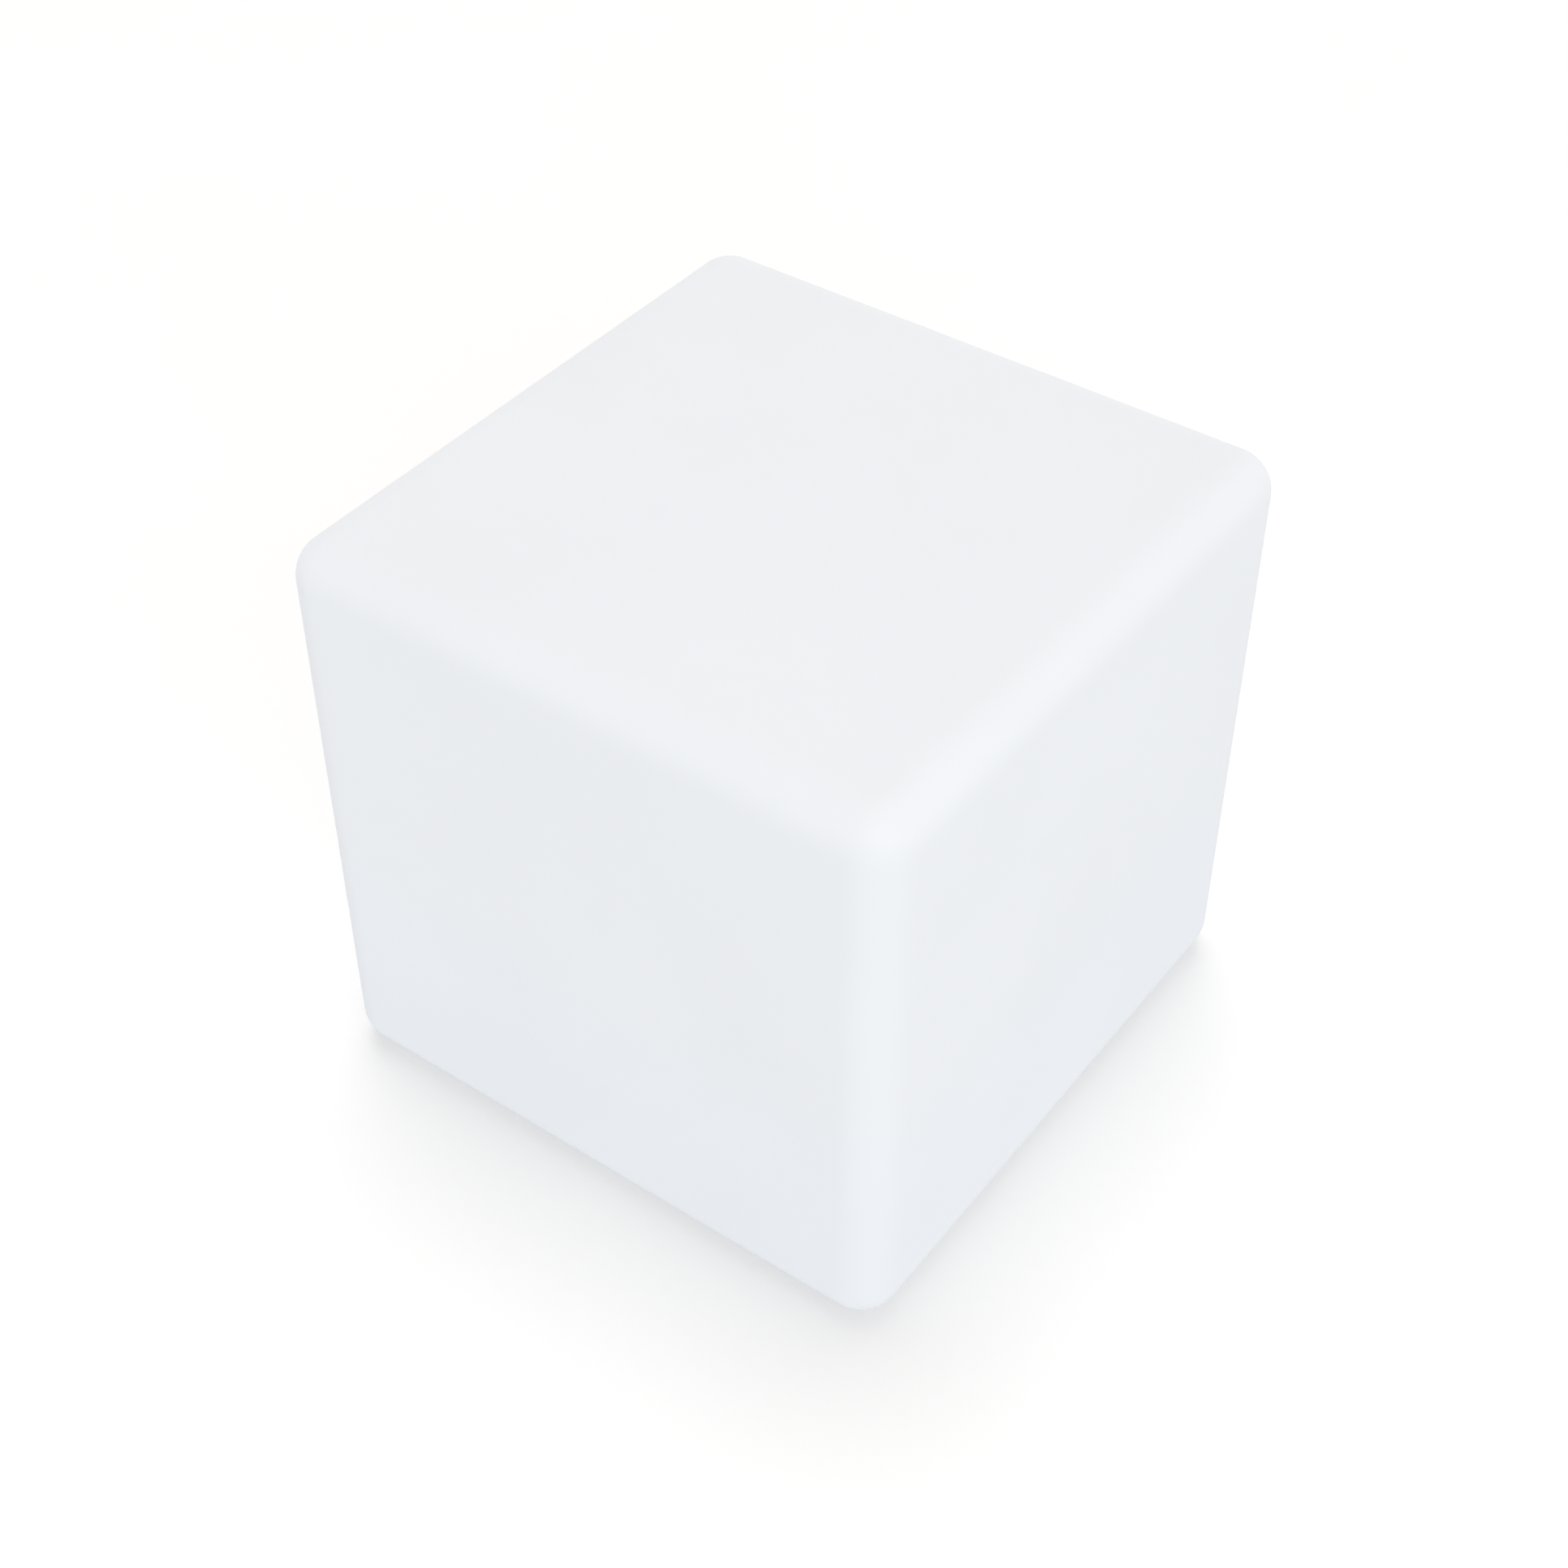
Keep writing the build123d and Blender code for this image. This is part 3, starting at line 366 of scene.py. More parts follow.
lamp = placed("soft_lamp", bpy.data.lights.new("soft_lamp", "AREA"))
lamp.data.shape, lamp.data.size = "SQUARE", LAMP_SIZE
lamp.data.energy = LAMP_WATTS
lamp.location = LAMP_AT
aimed(lamp, LAMP_AIM - LAMP_AT)
bpy.context.scene.view_settings.view_transform = "Standard"
print("sky level", LEVEL, "and patch", PATCH, "; lamp", LAMP_WATTS, "W")

# %% [markdown]
# ## Shapes from a rule
#
# Geometry Nodes suit whatever repeats or follows a rule: the same tree can be run again with
# other numbers. `RuleTree` is a Tree with named inputs. `grow` runs one on an empty object, sets
# each input by its socket's identifier, and keeps the result as a plain mesh, because the
# engineering frame wants finished meshes and no live modifiers.

# %% Rules
class RuleTree(Tree):
    """A Geometry Nodes tree with named inputs; the first output is the geometry."""

    def __init__(self, name, **inputs):
        group = bpy.data.node_groups.new(name, "GeometryNodeTree")
        for way in ("INPUT", "OUTPUT"):
            group.interface.new_socket("Geometry", in_out=way, socket_type="NodeSocketGeometry")
        super().__init__(group)
        self.sockets = {}
        for key, kind in {**inputs, "Finish": "Material"}.items():
            kind = "NodeSocket" + kind
            socket = group.interface.new_socket(key, in_out="INPUT", socket_type=kind)
            self.sockets[key] = socket.identifier
        self.inputs = Wire(self, group.nodes.new("NodeGroupInput").outputs[0])

    def __getitem__(self, name):
        return self.inputs.get(name)

    def shape(self, name):
        """The mesh of an object that is an input."""
        return self.add("GeometryNodeObjectInfo", None, {"Object": self[name]}).get("Geometry")

    def moved(self, geometry, **where):
        """The geometry with its points at a Position, or pushed by an Offset."""
        return self.add("GeometryNodeSetPosition", None, {"Geometry": geometry, **where})

    def cut(self, operation, *meshes):
        """Mesh Boolean: the first mesh less the others, or all of them as one."""
        settings = {"operation": operation, "solver": "EXACT"}
        real = [self.add("GeometryNodeRealizeInstances", None, {"Geometry": m}) for m in meshes]
        sockets = {1: real} if operation == "UNION" else {0: real[0], 1: real[1:]}
        return self.add("GeometryNodeMeshBoolean", settings, sockets)

    def end(self, geometry):
        """Makes the copies real and gives them the finish."""
        real = self.add("GeometryNodeRealizeInstances", None, {"Geometry": geometry})
        sockets = {"Geometry": real, "Material": self["Finish"]}
        out = self.tree.nodes.new("NodeGroupOutput")
        self.join(out.inputs[0], self.add("GeometryNodeSetMaterial", None, sockets))


# %% Growing meshes
def smoothed(piece, angle=32):
    """Shades the round faces smooth and leaves the corners sharp."""
    piece.data.shade_smooth()
    piece.data.set_sharp_from_angle(angle=radians(angle))
    return piece


def plain_mesh(thing):
    """The shape that a thing has after its modifiers."""
    bpy.context.view_layer.update()
    seen = thing.evaluated_get(bpy.context.evaluated_depsgraph_get())
    return bpy.data.meshes.new_from_object(seen)


def applied(piece):
    """Makes the modified shape the piece's own mesh."""
    mesh = plain_mesh(piece)
    piece.modifiers.clear()
    piece.data = mesh
    return piece


def grow(name, tree, finish, **inputs):
    """Runs a rule and returns its plain mesh as an object at the origin."""
    piece = placed(name, bpy.data.meshes.new(name))
    rule = piece.modifiers.new("rule", "NODES")
    rule.node_group = tree.tree
    for key, value in {**inputs, "Finish": finish.material}.items():
        rule[tree.sockets[key]] = value
    return smoothed(applied(piece))


# %% Seating pieces
def evened(piece):
    """Lets the largest face at each corner set the shading, so flat faces look flat."""
    even = piece.modifiers.new("even", "WEIGHTED_NORMAL")
    even.keep_sharp, even.weight = True, 100
    return applied(piece)


def seat(piece, body="lamp", replaces=(), even=True):
    """Fixes a finished piece to its body of the frame."""
    if even:
        evened(piece)
    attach(piece, body)
    if replaces:
        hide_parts(*replaces)
    return piece


# %% [markdown]
# ## Turned shapes
#
# Much of the light unit is round about an upright axis. A turned shape is a profile of radius
# and height, and a third number rounds that corner, since no moulded or machined edge is sharp.

# %% The lathe
def arc(centre, radius, start, end, steps):
    """Points on an arc, angles in degrees."""
    angles = [radians(start + (end - start) * i / steps) for i in range(steps + 1)]
    return [(centre[0] + radius * cos(a), centre[1] + radius * sin(a)) for a in angles]


def softened(profile):
    """Replaces each corner that has a third number by an arc of that radius."""
    steps = 4
    points = []
    for i, (x, y, *r) in enumerate(profile):
        if not r:
            points.append((x, y))
            continue
        here = Vector((x, y))
        a = (Vector(profile[i - 1][:2]) - here).normalized()
        b = (Vector(profile[(i + 1) % len(profile)][:2]) - here).normalized()
        half = a.angle(b) / 2
        centre = here + (a + b).normalized() * (r[0] / sin(half))
        first, last = (here + v * (r[0] / sin(half) * cos(half)) - centre for v in (a, b))
        turn = first.angle_signed(last)
        for k in range(steps + 1):
            points.append(tuple(centre + Matrix.Rotation(-turn * k / steps, 2) @ first))
    return points


def turned(name, profile, finish=None, at=(0, 0, 0), segments=64, axis="Z"):
    """A closed solid of revolution; the profile is in millimetres and may end on the axis."""
    mesh = bmesh.new()
    rings = []
    for r, z in softened(profile):
        if abs(r) < 1e-6:
            rings.append([mesh.verts.new((0, 0, z))] * segments)
            continue
        angles = [2 * pi * k / segments for k in range(segments)]
        rings.append([mesh.verts.new((r * cos(a), r * sin(a), z)) for a in angles])
    for low, high in zip(rings, rings[1:] + rings[:1]):
        for k in range(segments):
            corners = [low[k], low[(k + 1) % segments], high[(k + 1) % segments], high[k]]
            loop = [v for i, v in enumerate(corners) if v not in corners[:i]]
            if len(loop) > 2:
                mesh.faces.new(loop)
    return settled(name, mesh, finish, at, axis)


# %% From bmesh to piece
LEANS = {"Z": Matrix(), "Y": Matrix.Rotation(radians(-90), 4, "X")}


def settled(name, mesh, finish=None, at=(0, 0, 0), axis="Z"):
    """Ends a bmesh drawn in millimetres: one skin, normals out, moved to its place in metres."""
    bmesh.ops.remove_doubles(mesh, verts=mesh.verts, dist=1e-4)
    bmesh.ops.recalc_face_normals(mesh, faces=mesh.faces)
    mesh.transform(Matrix.Diagonal((mm, mm, mm, 1)) @ Matrix.Translation(at) @ LEANS[axis])
    data = bpy.data.meshes.new(name)
    mesh.to_mesh(data)
    mesh.free()
    if finish:
        data.materials.append(finish.material)
    return smoothed(placed(name, data))


def dropped(*tools):
    """Removes shapes that only served to make others."""
    for tool in tools:
        bpy.data.objects.remove(tool)


# %% [markdown]
# ## The shell
#
# The cube is blow or rotation moulded: one skin about 3.5 mm thick, every edge rounded to 25 mm,
# and its large faces drawn in a little as the plastic cooled. Bevelling a box would leave the
# round edges to chance. The shape has an exact rule instead: each point of a gridded cube goes
# to a core point on a smaller sharp box, plus the edge radius in the direction away from it.
# Rows are set closer in the rounds, and the flats sink by a fraction of a millimetre.

# %% The cube's sizes
SIDE, HEIGHT, EDGE, WALL = 400.0, 388.0, 25.0, 3.5
SINK = 0.7  # how far the middle of each face is drawn in
FLAT_ROWS, ROUND_ROWS = 7, 12

# %% The rounded cube as a rule
def rounded_cube(rule, inset):
    """One closed rounded cube, drawn in from the outside by a length."""
    rows = 2 * (FLAT_ROWS + ROUND_ROWS) + 1
    counts = {"Vertices X": rows, "Vertices Y": rows, "Vertices Z": rows, "Size": (2, 2, 2)}
    grid = rule.add("GeometryNodeMeshCube", None, counts)
    at = rule.add("GeometryNodeInputPosition")
    away = rule.maths("ABSOLUTE", at)
    side_of = rule.maths("SIGN", at)
    share = FLAT_ROWS / (FLAT_ROWS + ROUND_ROWS)
    run = 1 - rule.least(away / share, (1.0, 1.0, 1.0))
    flat = 1 - run * run
    turn = rule.most(away - share, (0.0, 0.0, 0.0)) / (1 - share)
    reach = rule.maths("TANGENT", turn * (pi / 4))
    radius = rule["Edge"] - inset
    half = rule.vector(rule["Side"] / 2, rule["Side"] / 2, rule["Height"] / 2)
    core = half - rule["Edge"]
    way = rule.maths("NORMALIZE", side_of * reach)
    open_x, open_y, open_z = rule.parts(1 - flat * flat)
    face = open_x * open_y + open_y * open_z + open_z * open_x
    upright = rule.maths("GREATER_THAN", rule.parts(way)[2], -0.5)
    sunk = rule["Sink"] * face * upright
    lift = rule.vector(z=rule["Height"] / 2)
    return rule.moved(grid, Position=side_of * flat * core + way * (radius - sunk) + lift)


# %% [markdown]
# The recess cannot come from that rule. It is cut by a turned shape with a drafted wall, a seat,
# and a mouth that rolls out in a 4 mm round, after a pan and six insert bosses have been added
# to the inside. Mesh Boolean does it exactly, inside the same tree.

# %% Recess sizes
RECESS_R, SEAT_R, SEAT_Z, MOUTH = 86.0, 85.0, 11.5, 4.0
OPENING_R, SCREW_CIRCLE, BOSS_R, BOSS_FOOT = 66.0, 74.5, 6.5, 1.4
INSERT_R, INSERT_LEN, BOSS_FLOOR, FIT = 3.1, 9.0, 3.0, 0.05
SEAT_TOP = SEAT_Z + WALL
BOSS_TOP = SEAT_Z + INSERT_LEN + BOSS_FLOOR
BASE_SCREWS = 6

# %% Tools that shape the recess
def recess_tool():
    """The room that the light unit goes up into, with its drafted wall and rolled mouth."""
    draft = atan((RECESS_R - SEAT_R) / SEAT_Z)
    middle = RECESS_R - (RECESS_R - SEAT_R) * MOUTH / SEAT_Z + MOUTH / cos(draft)
    rolled = arc((middle, MOUTH), MOUTH, -90, -180 + draft * 180 / pi, 10)
    seat_line = [(SEAT_R, SEAT_Z, 0.5), (OPENING_R, SEAT_Z, 0.4)]
    hole = [(OPENING_R, SEAT_TOP + 5), (0, SEAT_TOP + 5)]
    return [(0, -5), (middle, -5)] + rolled + seat_line + hole


def boss_tool():
    """A round boss with a small round where it stands on the seat."""
    spread = BOSS_R + BOSS_FOOT
    flare = arc((spread, SEAT_TOP + BOSS_FOOT), BOSS_FOOT, -90, -180, 4)
    foot = [(0, SEAT_TOP - 1.5), (spread, SEAT_TOP - 1.5), *flare]
    return foot + [(BOSS_R, BOSS_TOP, 0.8), (0, BOSS_TOP)]


def pocket_tool():
    """The blind hole that an insert fills."""
    low, high, radius = SEAT_Z - 1, SEAT_Z + INSERT_LEN + FIT, INSERT_R + FIT
    return [(0, low), (radius, low), (radius, high), (0, high)]


pan_line = [
    (0, 1.5), (RECESS_R + WALL, 1.5, 1.0), (SEAT_R + WALL, SEAT_TOP, 2.0), (0, SEAT_TOP),
]
pan = turned("pan", pan_line, segments=144)
recess = turned("recess", recess_tool(), segments=144)
boss = turned("boss", boss_tool(), segments=32)
pocket = turned("pocket", pocket_tool(), segments=32)

# %% A ring of copies, used throughout
def ring_of(rule, copy, count, radius, start):
    """Copies of a shape about the upright axis, each turned to face outwards."""
    dots = rule.add("GeometryNodeMeshCircle", None, {"Vertices": count, "Radius": 1.0})
    turn = rule.add("GeometryNodeInputIndex") * (2 * pi) / count + start
    place = rule.vector(rule.maths("COSINE", turn), rule.maths("SINE", turn))
    sockets = {"Points": rule.moved(dots, Position=place * radius), "Instance": copy}
    sockets["Rotation"] = rule.vector(z=turn)
    return rule.add("GeometryNodeInstanceOnPoints", None, sockets)


# %% The shell's tree
shell_rule = RuleTree(
    "shell_rule", Side="Float", Height="Float", Edge="Float", Wall="Float", Sink="Float",
    Pan="Object", Recess="Object", Boss="Object", Pocket="Object", Circle="Float", Bosses="Int",
)
outside, inside = (rounded_cube(shell_rule, inset) for inset in (0.0, shell_rule["Wall"]))
skin = shell_rule.cut("DIFFERENCE", outside, inside)
bosses, pockets = (
    ring_of(shell_rule, shell_rule.shape(name), shell_rule["Bosses"], shell_rule["Circle"], 0.0)
    for name in ("Boss", "Pocket")
)
filled = shell_rule.cut("UNION", skin, shell_rule.shape("Pan"), bosses)
hollowed = shell_rule.cut("DIFFERENCE", filled, shell_rule.shape("Recess"))
shell_rule.end(shell_rule.cut("DIFFERENCE", hollowed, pockets))

# %% [markdown]
# Polyethylene is milky: light goes a little way in and comes out again, so it never looks like
# paint. Its skin is satin, with a very shallow orange peel from the mould and slow clouds of
# tone where the wall is thicker. Low on the sides a painted cool light turns the colour a little
# bluer towards the foot. All of this is faint, and without it the cube looks computed.

# %% The shell's finish
PE_WHITE, COOL_LIGHT_AT_FOOT = (0.86, 0.875, 0.895), (0.986, 0.999, 1.010)
milky = {
    "Subsurface Weight": 0.12, "Subsurface Radius": (1.0, 1.0, 1.0), "Subsurface Scale": 4 * mm,
}
polyethylene = Finish("moulded_polyethylene", PE_WHITE, 0.42, constants=milky)
polyethylene.drift(120.0, 0.008, rough=0.03)
# Painted cool light: the colour turns a little bluer towards the foot, up to a height that wavers
# with noise.
z = polyethylene.parts(polyethylene.place)[2]
height = z / 400.0 + (polyethylene.noise(90.0) - 0.5) * 0.15
foot = polyethylene.ramp(height, (0.15, 1.0), (0.45, 0.0))
tone = polyethylene.tone()
polyethylene.put("Base Color", polyethylene.mix(foot, tone, tone * COOL_LIGHT_AT_FOOT))
polyethylene.grain(3.2, 0.015).grain(0.5, 0.003)

# %% The shell
shell = grow(
    "cube_shell_skin", shell_rule, polyethylene,
    Side=SIDE * mm, Height=HEIGHT * mm, Edge=EDGE * mm, Wall=WALL * mm, Sink=SINK * mm,
    Pan=pan, Recess=recess, Boss=boss, Pocket=pocket,
    Circle=SCREW_CIRCLE * mm, Bosses=BASE_SCREWS,
)
dropped(pan, recess, boss, pocket)
seat(shell, replaces=["cube_shell"], even=False)
size = [round(v / mm, 1) for v in shell.dimensions]
print("shell", len(shell.data.polygons), "faces", size, "mm")

# %% [markdown]
# ## Helpers for the light unit
#
# Many parts of the light unit are right as the engineers drew them. Their meshes are loose
# triangles, so `dressed` takes a copy, joins its corners, shades it smooth where it is round,
# and gives it its finish. `slab` makes moulded boxes with round corners and soft rims, and
# `carved` cuts one shape out of another. Sizes are given in millimetres throughout.

# %% Copies of engineering parts
def dressed(node, finish, name, angle=30):
    """A smooth-shaded copy of an engineering part, with its finish."""
    data = nodes[node].data.copy()
    data.materials.clear()
    data.materials.append(finish.material)
    mesh = bmesh.new()
    mesh.from_mesh(data)
    bmesh.ops.remove_doubles(mesh, verts=mesh.verts, dist=2e-6)
    bmesh.ops.dissolve_degenerate(mesh, edges=mesh.edges, dist=1e-6)
    for face in mesh.faces:
        face.material_index = 0
    mesh.to_mesh(data)
    mesh.free()
    return seat(smoothed(placed(name, data), angle), replaces=[node])


# %% Slabs and lofts
def outline(x, y, corner, steps=4):
    """A rectangle with round corners, as points round it."""
    points = []
    for i, (sx, sy) in enumerate([(1, 1), (-1, 1), (-1, -1), (1, -1)]):
        middle = (sx * (x / 2 - corner), sy * (y / 2 - corner))
        points += arc(middle, corner, 90 * i, 90 * i + 90, steps)
    return points


def lofted(name, rings, finish=None, at=(0, 0, 0)):
    """A closed solid through rings of points (x, y, z), its ends capped."""
    mesh = bmesh.new()
    made = [[mesh.verts.new(p) for p in ring] for ring in rings]
    for low, high in zip(made, made[1:]):
        for k in range(len(low)):
            n = (k + 1) % len(low)
            mesh.faces.new([low[k], low[n], high[n], high[k]])
    mesh.faces.new(made[0][::-1])
    mesh.faces.new(made[-1])
    return settled(name, mesh, finish, at)


def stacked(name, levels, finish=None, at=(0, 0, 0)):
    """A closed solid through flat outlines at their heights."""
    return lofted(name, [[(x, y, z) for x, y in ring] for z, ring in levels], finish, at)


def slab(name, x, y, low, high, corner=0.5, soft=0.2, finish=None, at=(0, 0, 0)):
    """A box with round corners and softened rims."""
    levels, steps = [], 3
    bends = arc((0, 0), soft, -90, 0, steps) + arc((0, 0), soft, 0, 90, steps)
    for i, (out, up) in enumerate(bends):
        inset = soft - out
        z = (low + soft if i <= steps else high - soft) + up
        ring = outline(x - 2 * inset, y - 2 * inset, max(corner - inset, 0.02))
        levels.append((z, ring))
    return stacked(name, levels, finish, at)


# %% Cuts and joins
def carved(piece, operation, *tools):
    """Cuts, joins or crosses a shape with others by exact Boolean, then drops the others."""
    for tool in tools:
        knife = piece.modifiers.new("knife", "BOOLEAN")
        knife.operation, knife.solver, knife.object = operation, "EXACT", tool
        knife.material_mode = "TRANSFER"
    applied(piece)
    dropped(*tools)
    return smoothed(piece)


def joined(name, *pieces):
    """Several shapes as one piece."""
    mesh = bmesh.new()
    data = bpy.data.meshes.new(name)
    for piece in pieces:
        start = len(mesh.faces)
        mesh.from_mesh(piece.data)
        mesh.faces.ensure_lookup_table()
        own = piece.data.materials
        for material in own:
            if material and material.name not in data.materials:
                data.materials.append(material)
        slots = [data.materials.find(m.name) if m else 0 for m in own] or [0]
        for face in mesh.faces[start:]:
            face.material_index = slots[min(face.material_index, len(slots) - 1)]
    mesh.to_mesh(data)
    mesh.free()
    dropped(*pieces)
    return smoothed(placed(name, data))


def shifted(piece, at, turn=0.0):
    """Turns a piece's own mesh about the upright axis, in degrees, and moves it, in mm."""
    turning = Matrix.Rotation(radians(turn), 4, "Z")
    piece.data.transform(Matrix.Translation([c * mm for c in at]) @ turning)
    return piece


# %% Places
def places(points):
    """A mesh of loose points, in millimetres, for a rule to put copies on."""
    mesh = bpy.data.meshes.new("places")
    mesh.from_pydata([tuple(c * mm for c in p) for p in points], [], [])
    return placed("places", mesh)


def around(count, radius, start=0.0, height=0.0):
    """Points spaced evenly on a circle."""
    angles = [radians(start) + 2 * pi * i / count for i in range(count)]
    return [(radius * cos(a), radius * sin(a), height) for a in angles]


# %% [markdown]
# ## The light unit's case
#
# The case is one ABS moulding: a cover plate with a flange, and a cup that goes up into the
# cube. Cases of this kind are moulded against a spark-eroded steel face, which leaves an even,
# fine matt texture. That grain is a third of a millimetre across, far below what a mesh should
# hold, so it is bump and a little scatter in the roughness.

# %% Spark-eroded finish
spark_abs = Finish("spark_eroded_abs", (0.80, 0.81, 0.82), 0.5)
spark_abs.drift(45.0, 0.012, rough=0.05)
spark_abs.grain(0.7, 0.035, detail=3.0)

# %% Heights and places in the case
FACE_Z, PLATE_Z, CUP_TOP, CELL_Z = 6.0, 10.0, 56.0, 21.25
CUP_R, CUP_IN, FLANGE_R = 64.0, 61.5, 82.0
BOARD_Z, JACK_BOARD_Z, SPREADER_Z = 38.0, 26.5, 54.0
BOARD_POSTS = [(x, y, BOARD_Z) for x in (-27, 27) for y in (-24, 24)]
STRAP_POSTS = [(x, -10, CELL_Z) for x in (-26, 26)]
JACK_POSTS = [(-42, y, JACK_BOARD_Z) for y in (-17.2, 17.2)]
SHORT_POSTS = BOARD_POSTS + STRAP_POSTS + JACK_POSTS
PORT_X, SWITCH_X, PIPE_Y, STUD_X = -42.0, 42.0, 11.4, -25.0
CELL_X, CELL_R = 9.6, 9.2
DOME_SCREWS, DOME_CIRCLE, POST_FOOT = 6, 57.5, 0.8

# %% Posts and ribs of the case
def post(name, radius, high, at=(0, 0, 0)):
    """A round post on the plate, with a small round at its foot."""
    spread = radius + POST_FOOT
    flare = arc((spread, PLATE_Z + POST_FOOT), POST_FOOT, -90, -180, 3)
    profile = [(0, PLATE_Z - 1), (spread, PLATE_Z - 1), *flare]
    return turned(name, profile + [(radius, high, 0.2), (0, high)], at=at, segments=32)


def gusset():
    """A rib with a sloping edge between plate and cup wall, drawn at angle 0."""
    wall, top, toe, low = CUP_IN + 1, 30, CUP_IN - 7, 9.5
    side = [(wall, low), (wall, top), (CUP_IN - 0.5, top), (toe, 10), (toe, low)]
    return lofted("gusset", [[(x, y, z) for x, z in side] for y in (-0.9, 0.9)])


def saddles():
    """Two cross ribs cut to the round of the cells, and a low stop wall past each end."""
    ribs = [slab("rib", 41.6, 2.5, 9.5, 20.25, 0.3, at=(0, y, 0)) for y in (-19, 19)]
    ribs += [slab("stop", 41.6, 2.5, 9.5, 15.0, 0.3, at=(0, y, 0)) for y in (-35.25, 35.25)]
    radius = CELL_R + FIT
    line = [(0, -32), (radius, -32), (radius, 32), (0, 32)]
    room = [turned("room", line, at=(x, 0, CELL_Z), axis="Y") for x in (-CELL_X, CELL_X)]
    return carved(joined("saddles", *ribs), "DIFFERENCE", joined("rooms", *room))


# %% Solids that make up the case
body_line = [
    (0, FACE_Z), (FLANGE_R, FACE_Z, 1.2), (FLANGE_R, PLATE_Z, 0.3), (CUP_R, PLATE_Z),
    (CUP_R, CUP_TOP, 0.3), (CUP_IN, CUP_TOP, 0.3), (CUP_IN, PLATE_Z, 1.0), (0, PLATE_Z),
]
body = turned("body", body_line, segments=160)
posts = [post("post", 3.2, z, at=(x, y, 0)) for x, y, z in SHORT_POSTS]
wall_line = [(0, 6.5), (13.5, 6.5), (13.5, 14, 0.4), (0, 14)]
finger_wall = turned("wall", wall_line, at=(SWITCH_X, 0, 0))
boss_line = [(0, 9.5), (9.2, 9.5), (9.2, 13.5, 0.4), (0, 13.5)]
port_boss = turned("boss", boss_line, at=(PORT_X, 0, 0))
extras = joined("extras", saddles(), finger_wall, port_boss, *posts)
tall_post, rib = post("tall_post", 5.0, SPREADER_Z), gusset()

# %% Round holes of the case
def bored(radius, low, high, at=(0, 0, 0)):
    """A round hole between two heights."""
    line = [(0, low), (radius, low), (radius, high), (0, high)]
    return turned("hole", line, at=at, segments=48)


counterbore_line = [
    (0, 5), (4.65, 5), (4.65, FACE_Z), (4.4, 6.25), (4.4, 8.5), (2.25, 8.5), (2.25, 11), (0, 11),
]
counterbore = turned("counterbore", counterbore_line, segments=48)
dome_hole = bored(1.55, 40, 55)
pilots = joined("pilots", *[bored(1.3, z - 7, z + 1, at=(x, y, 0)) for x, y, z in SHORT_POSTS])

# %% Wells of the case
finger_line = [
    (0, 5), (11.6, 5), (11.6, FACE_Z), *arc((11.6, FACE_Z + 0.6), 0.6, -90, -170, 4),
    (10, 11), (6.05, 11), (6.05, 15), (0, 15),
]
finger_dish = turned("dish", finger_line, at=(SWITCH_X, 0, 0))
groove = turned("groove", [(60, 5), (61.6, 5), (61.6, 6.6, 0.3), (60, 6.6, 0.3)], segments=160)
pipe_hole = bored(1.55, 5, 11, at=(PORT_X, PIPE_Y, 0))
wells = joined("wells", finger_dish, groove, pipe_hole)
slot_rings = [(0.5, 5.0), (0.5, 6.0), (0.25, 6.1), (0.08, 6.3), (0.0, 6.55), (0.0, 8.4)]
levels = [(z, outline(33.0 + 2 * g, 18.2 + 2 * g, 9.1 + g, 12)) for g, z in slot_rings]
port_dish = stacked("port_dish", levels, at=(-37.6, 0, 0))
well_line = [(0, 8), (6.2, 8), (6.2, 12), (3.4, 12), (3.4, 14), (0, 14)]
plug_well = turned("well", well_line, at=(PORT_X, 0, 0))
plug_well = joined("plug_well", plug_well, bored(1.85, 8, 11, at=(STUD_X, 0, 0)))

# %% The case from its solids and holes
case_rule = RuleTree(
    "case_rule", Body="Object", Extras="Object", Post="Object", Rib="Object",
    Counterbore="Object", Hole="Object", Pilots="Object", Wells="Object", Dish="Object",
    Well="Object", Count="Int", PostCircle="Float", ScrewCircle="Float", Offset="Float",
)


def case_ring(name, circle, offset):
    """Copies of one of the case's inputs, one for each screw."""
    return ring_of(case_rule, case_rule.shape(name), case_rule["Count"], circle, offset)


tall = case_ring("Post", case_rule["PostCircle"], case_rule["Offset"])
ribs = case_ring("Rib", 0.0, 0.0)
solid = case_rule.cut("UNION", case_rule.shape("Body"), case_rule.shape("Extras"), tall, ribs)
bores = case_ring("Counterbore", case_rule["ScrewCircle"], 0.0)
holes = case_ring("Hole", case_rule["PostCircle"], case_rule["Offset"])
rest = [case_rule.shape(name) for name in ("Pilots", "Wells", "Dish", "Well")]
case_rule.end(case_rule.cut("DIFFERENCE", solid, bores, holes, *rest))

# %% The case
case = grow(
    "light_base_case", case_rule, spark_abs, Body=body, Extras=extras, Post=tall_post, Rib=rib,
    Counterbore=counterbore, Hole=dome_hole, Pilots=pilots, Wells=wells, Dish=port_dish,
    Well=plug_well, Count=DOME_SCREWS, PostCircle=DOME_CIRCLE * mm,
    ScrewCircle=SCREW_CIRCLE * mm, Offset=pi / DOME_SCREWS,
)
dropped(body, extras, tall_post, rib, counterbore, dome_hole, pilots, wells, port_dish, plug_well)
seat(case, replaces=["light_base"])
size = [round(v / mm, 1) for v in case.dimensions]
print("case", len(case.data.polygons), "faces", size, "mm")

# %% [markdown]
# ## Screws
#
# Six machine screws hold the unit to brass inserts in the shell, and six smaller ones hold the
# dome. Eleven thread-forming screws hold the boards and the cells' strap. They are one rule
# with other numbers. The shank is a gridded cylinder whose surface moves in and out with a wave
# that climbs one pitch a turn. Copies of the finished screw go onto points, each turned by a
# seeded amount, because no one lines up the crosses of screw heads.

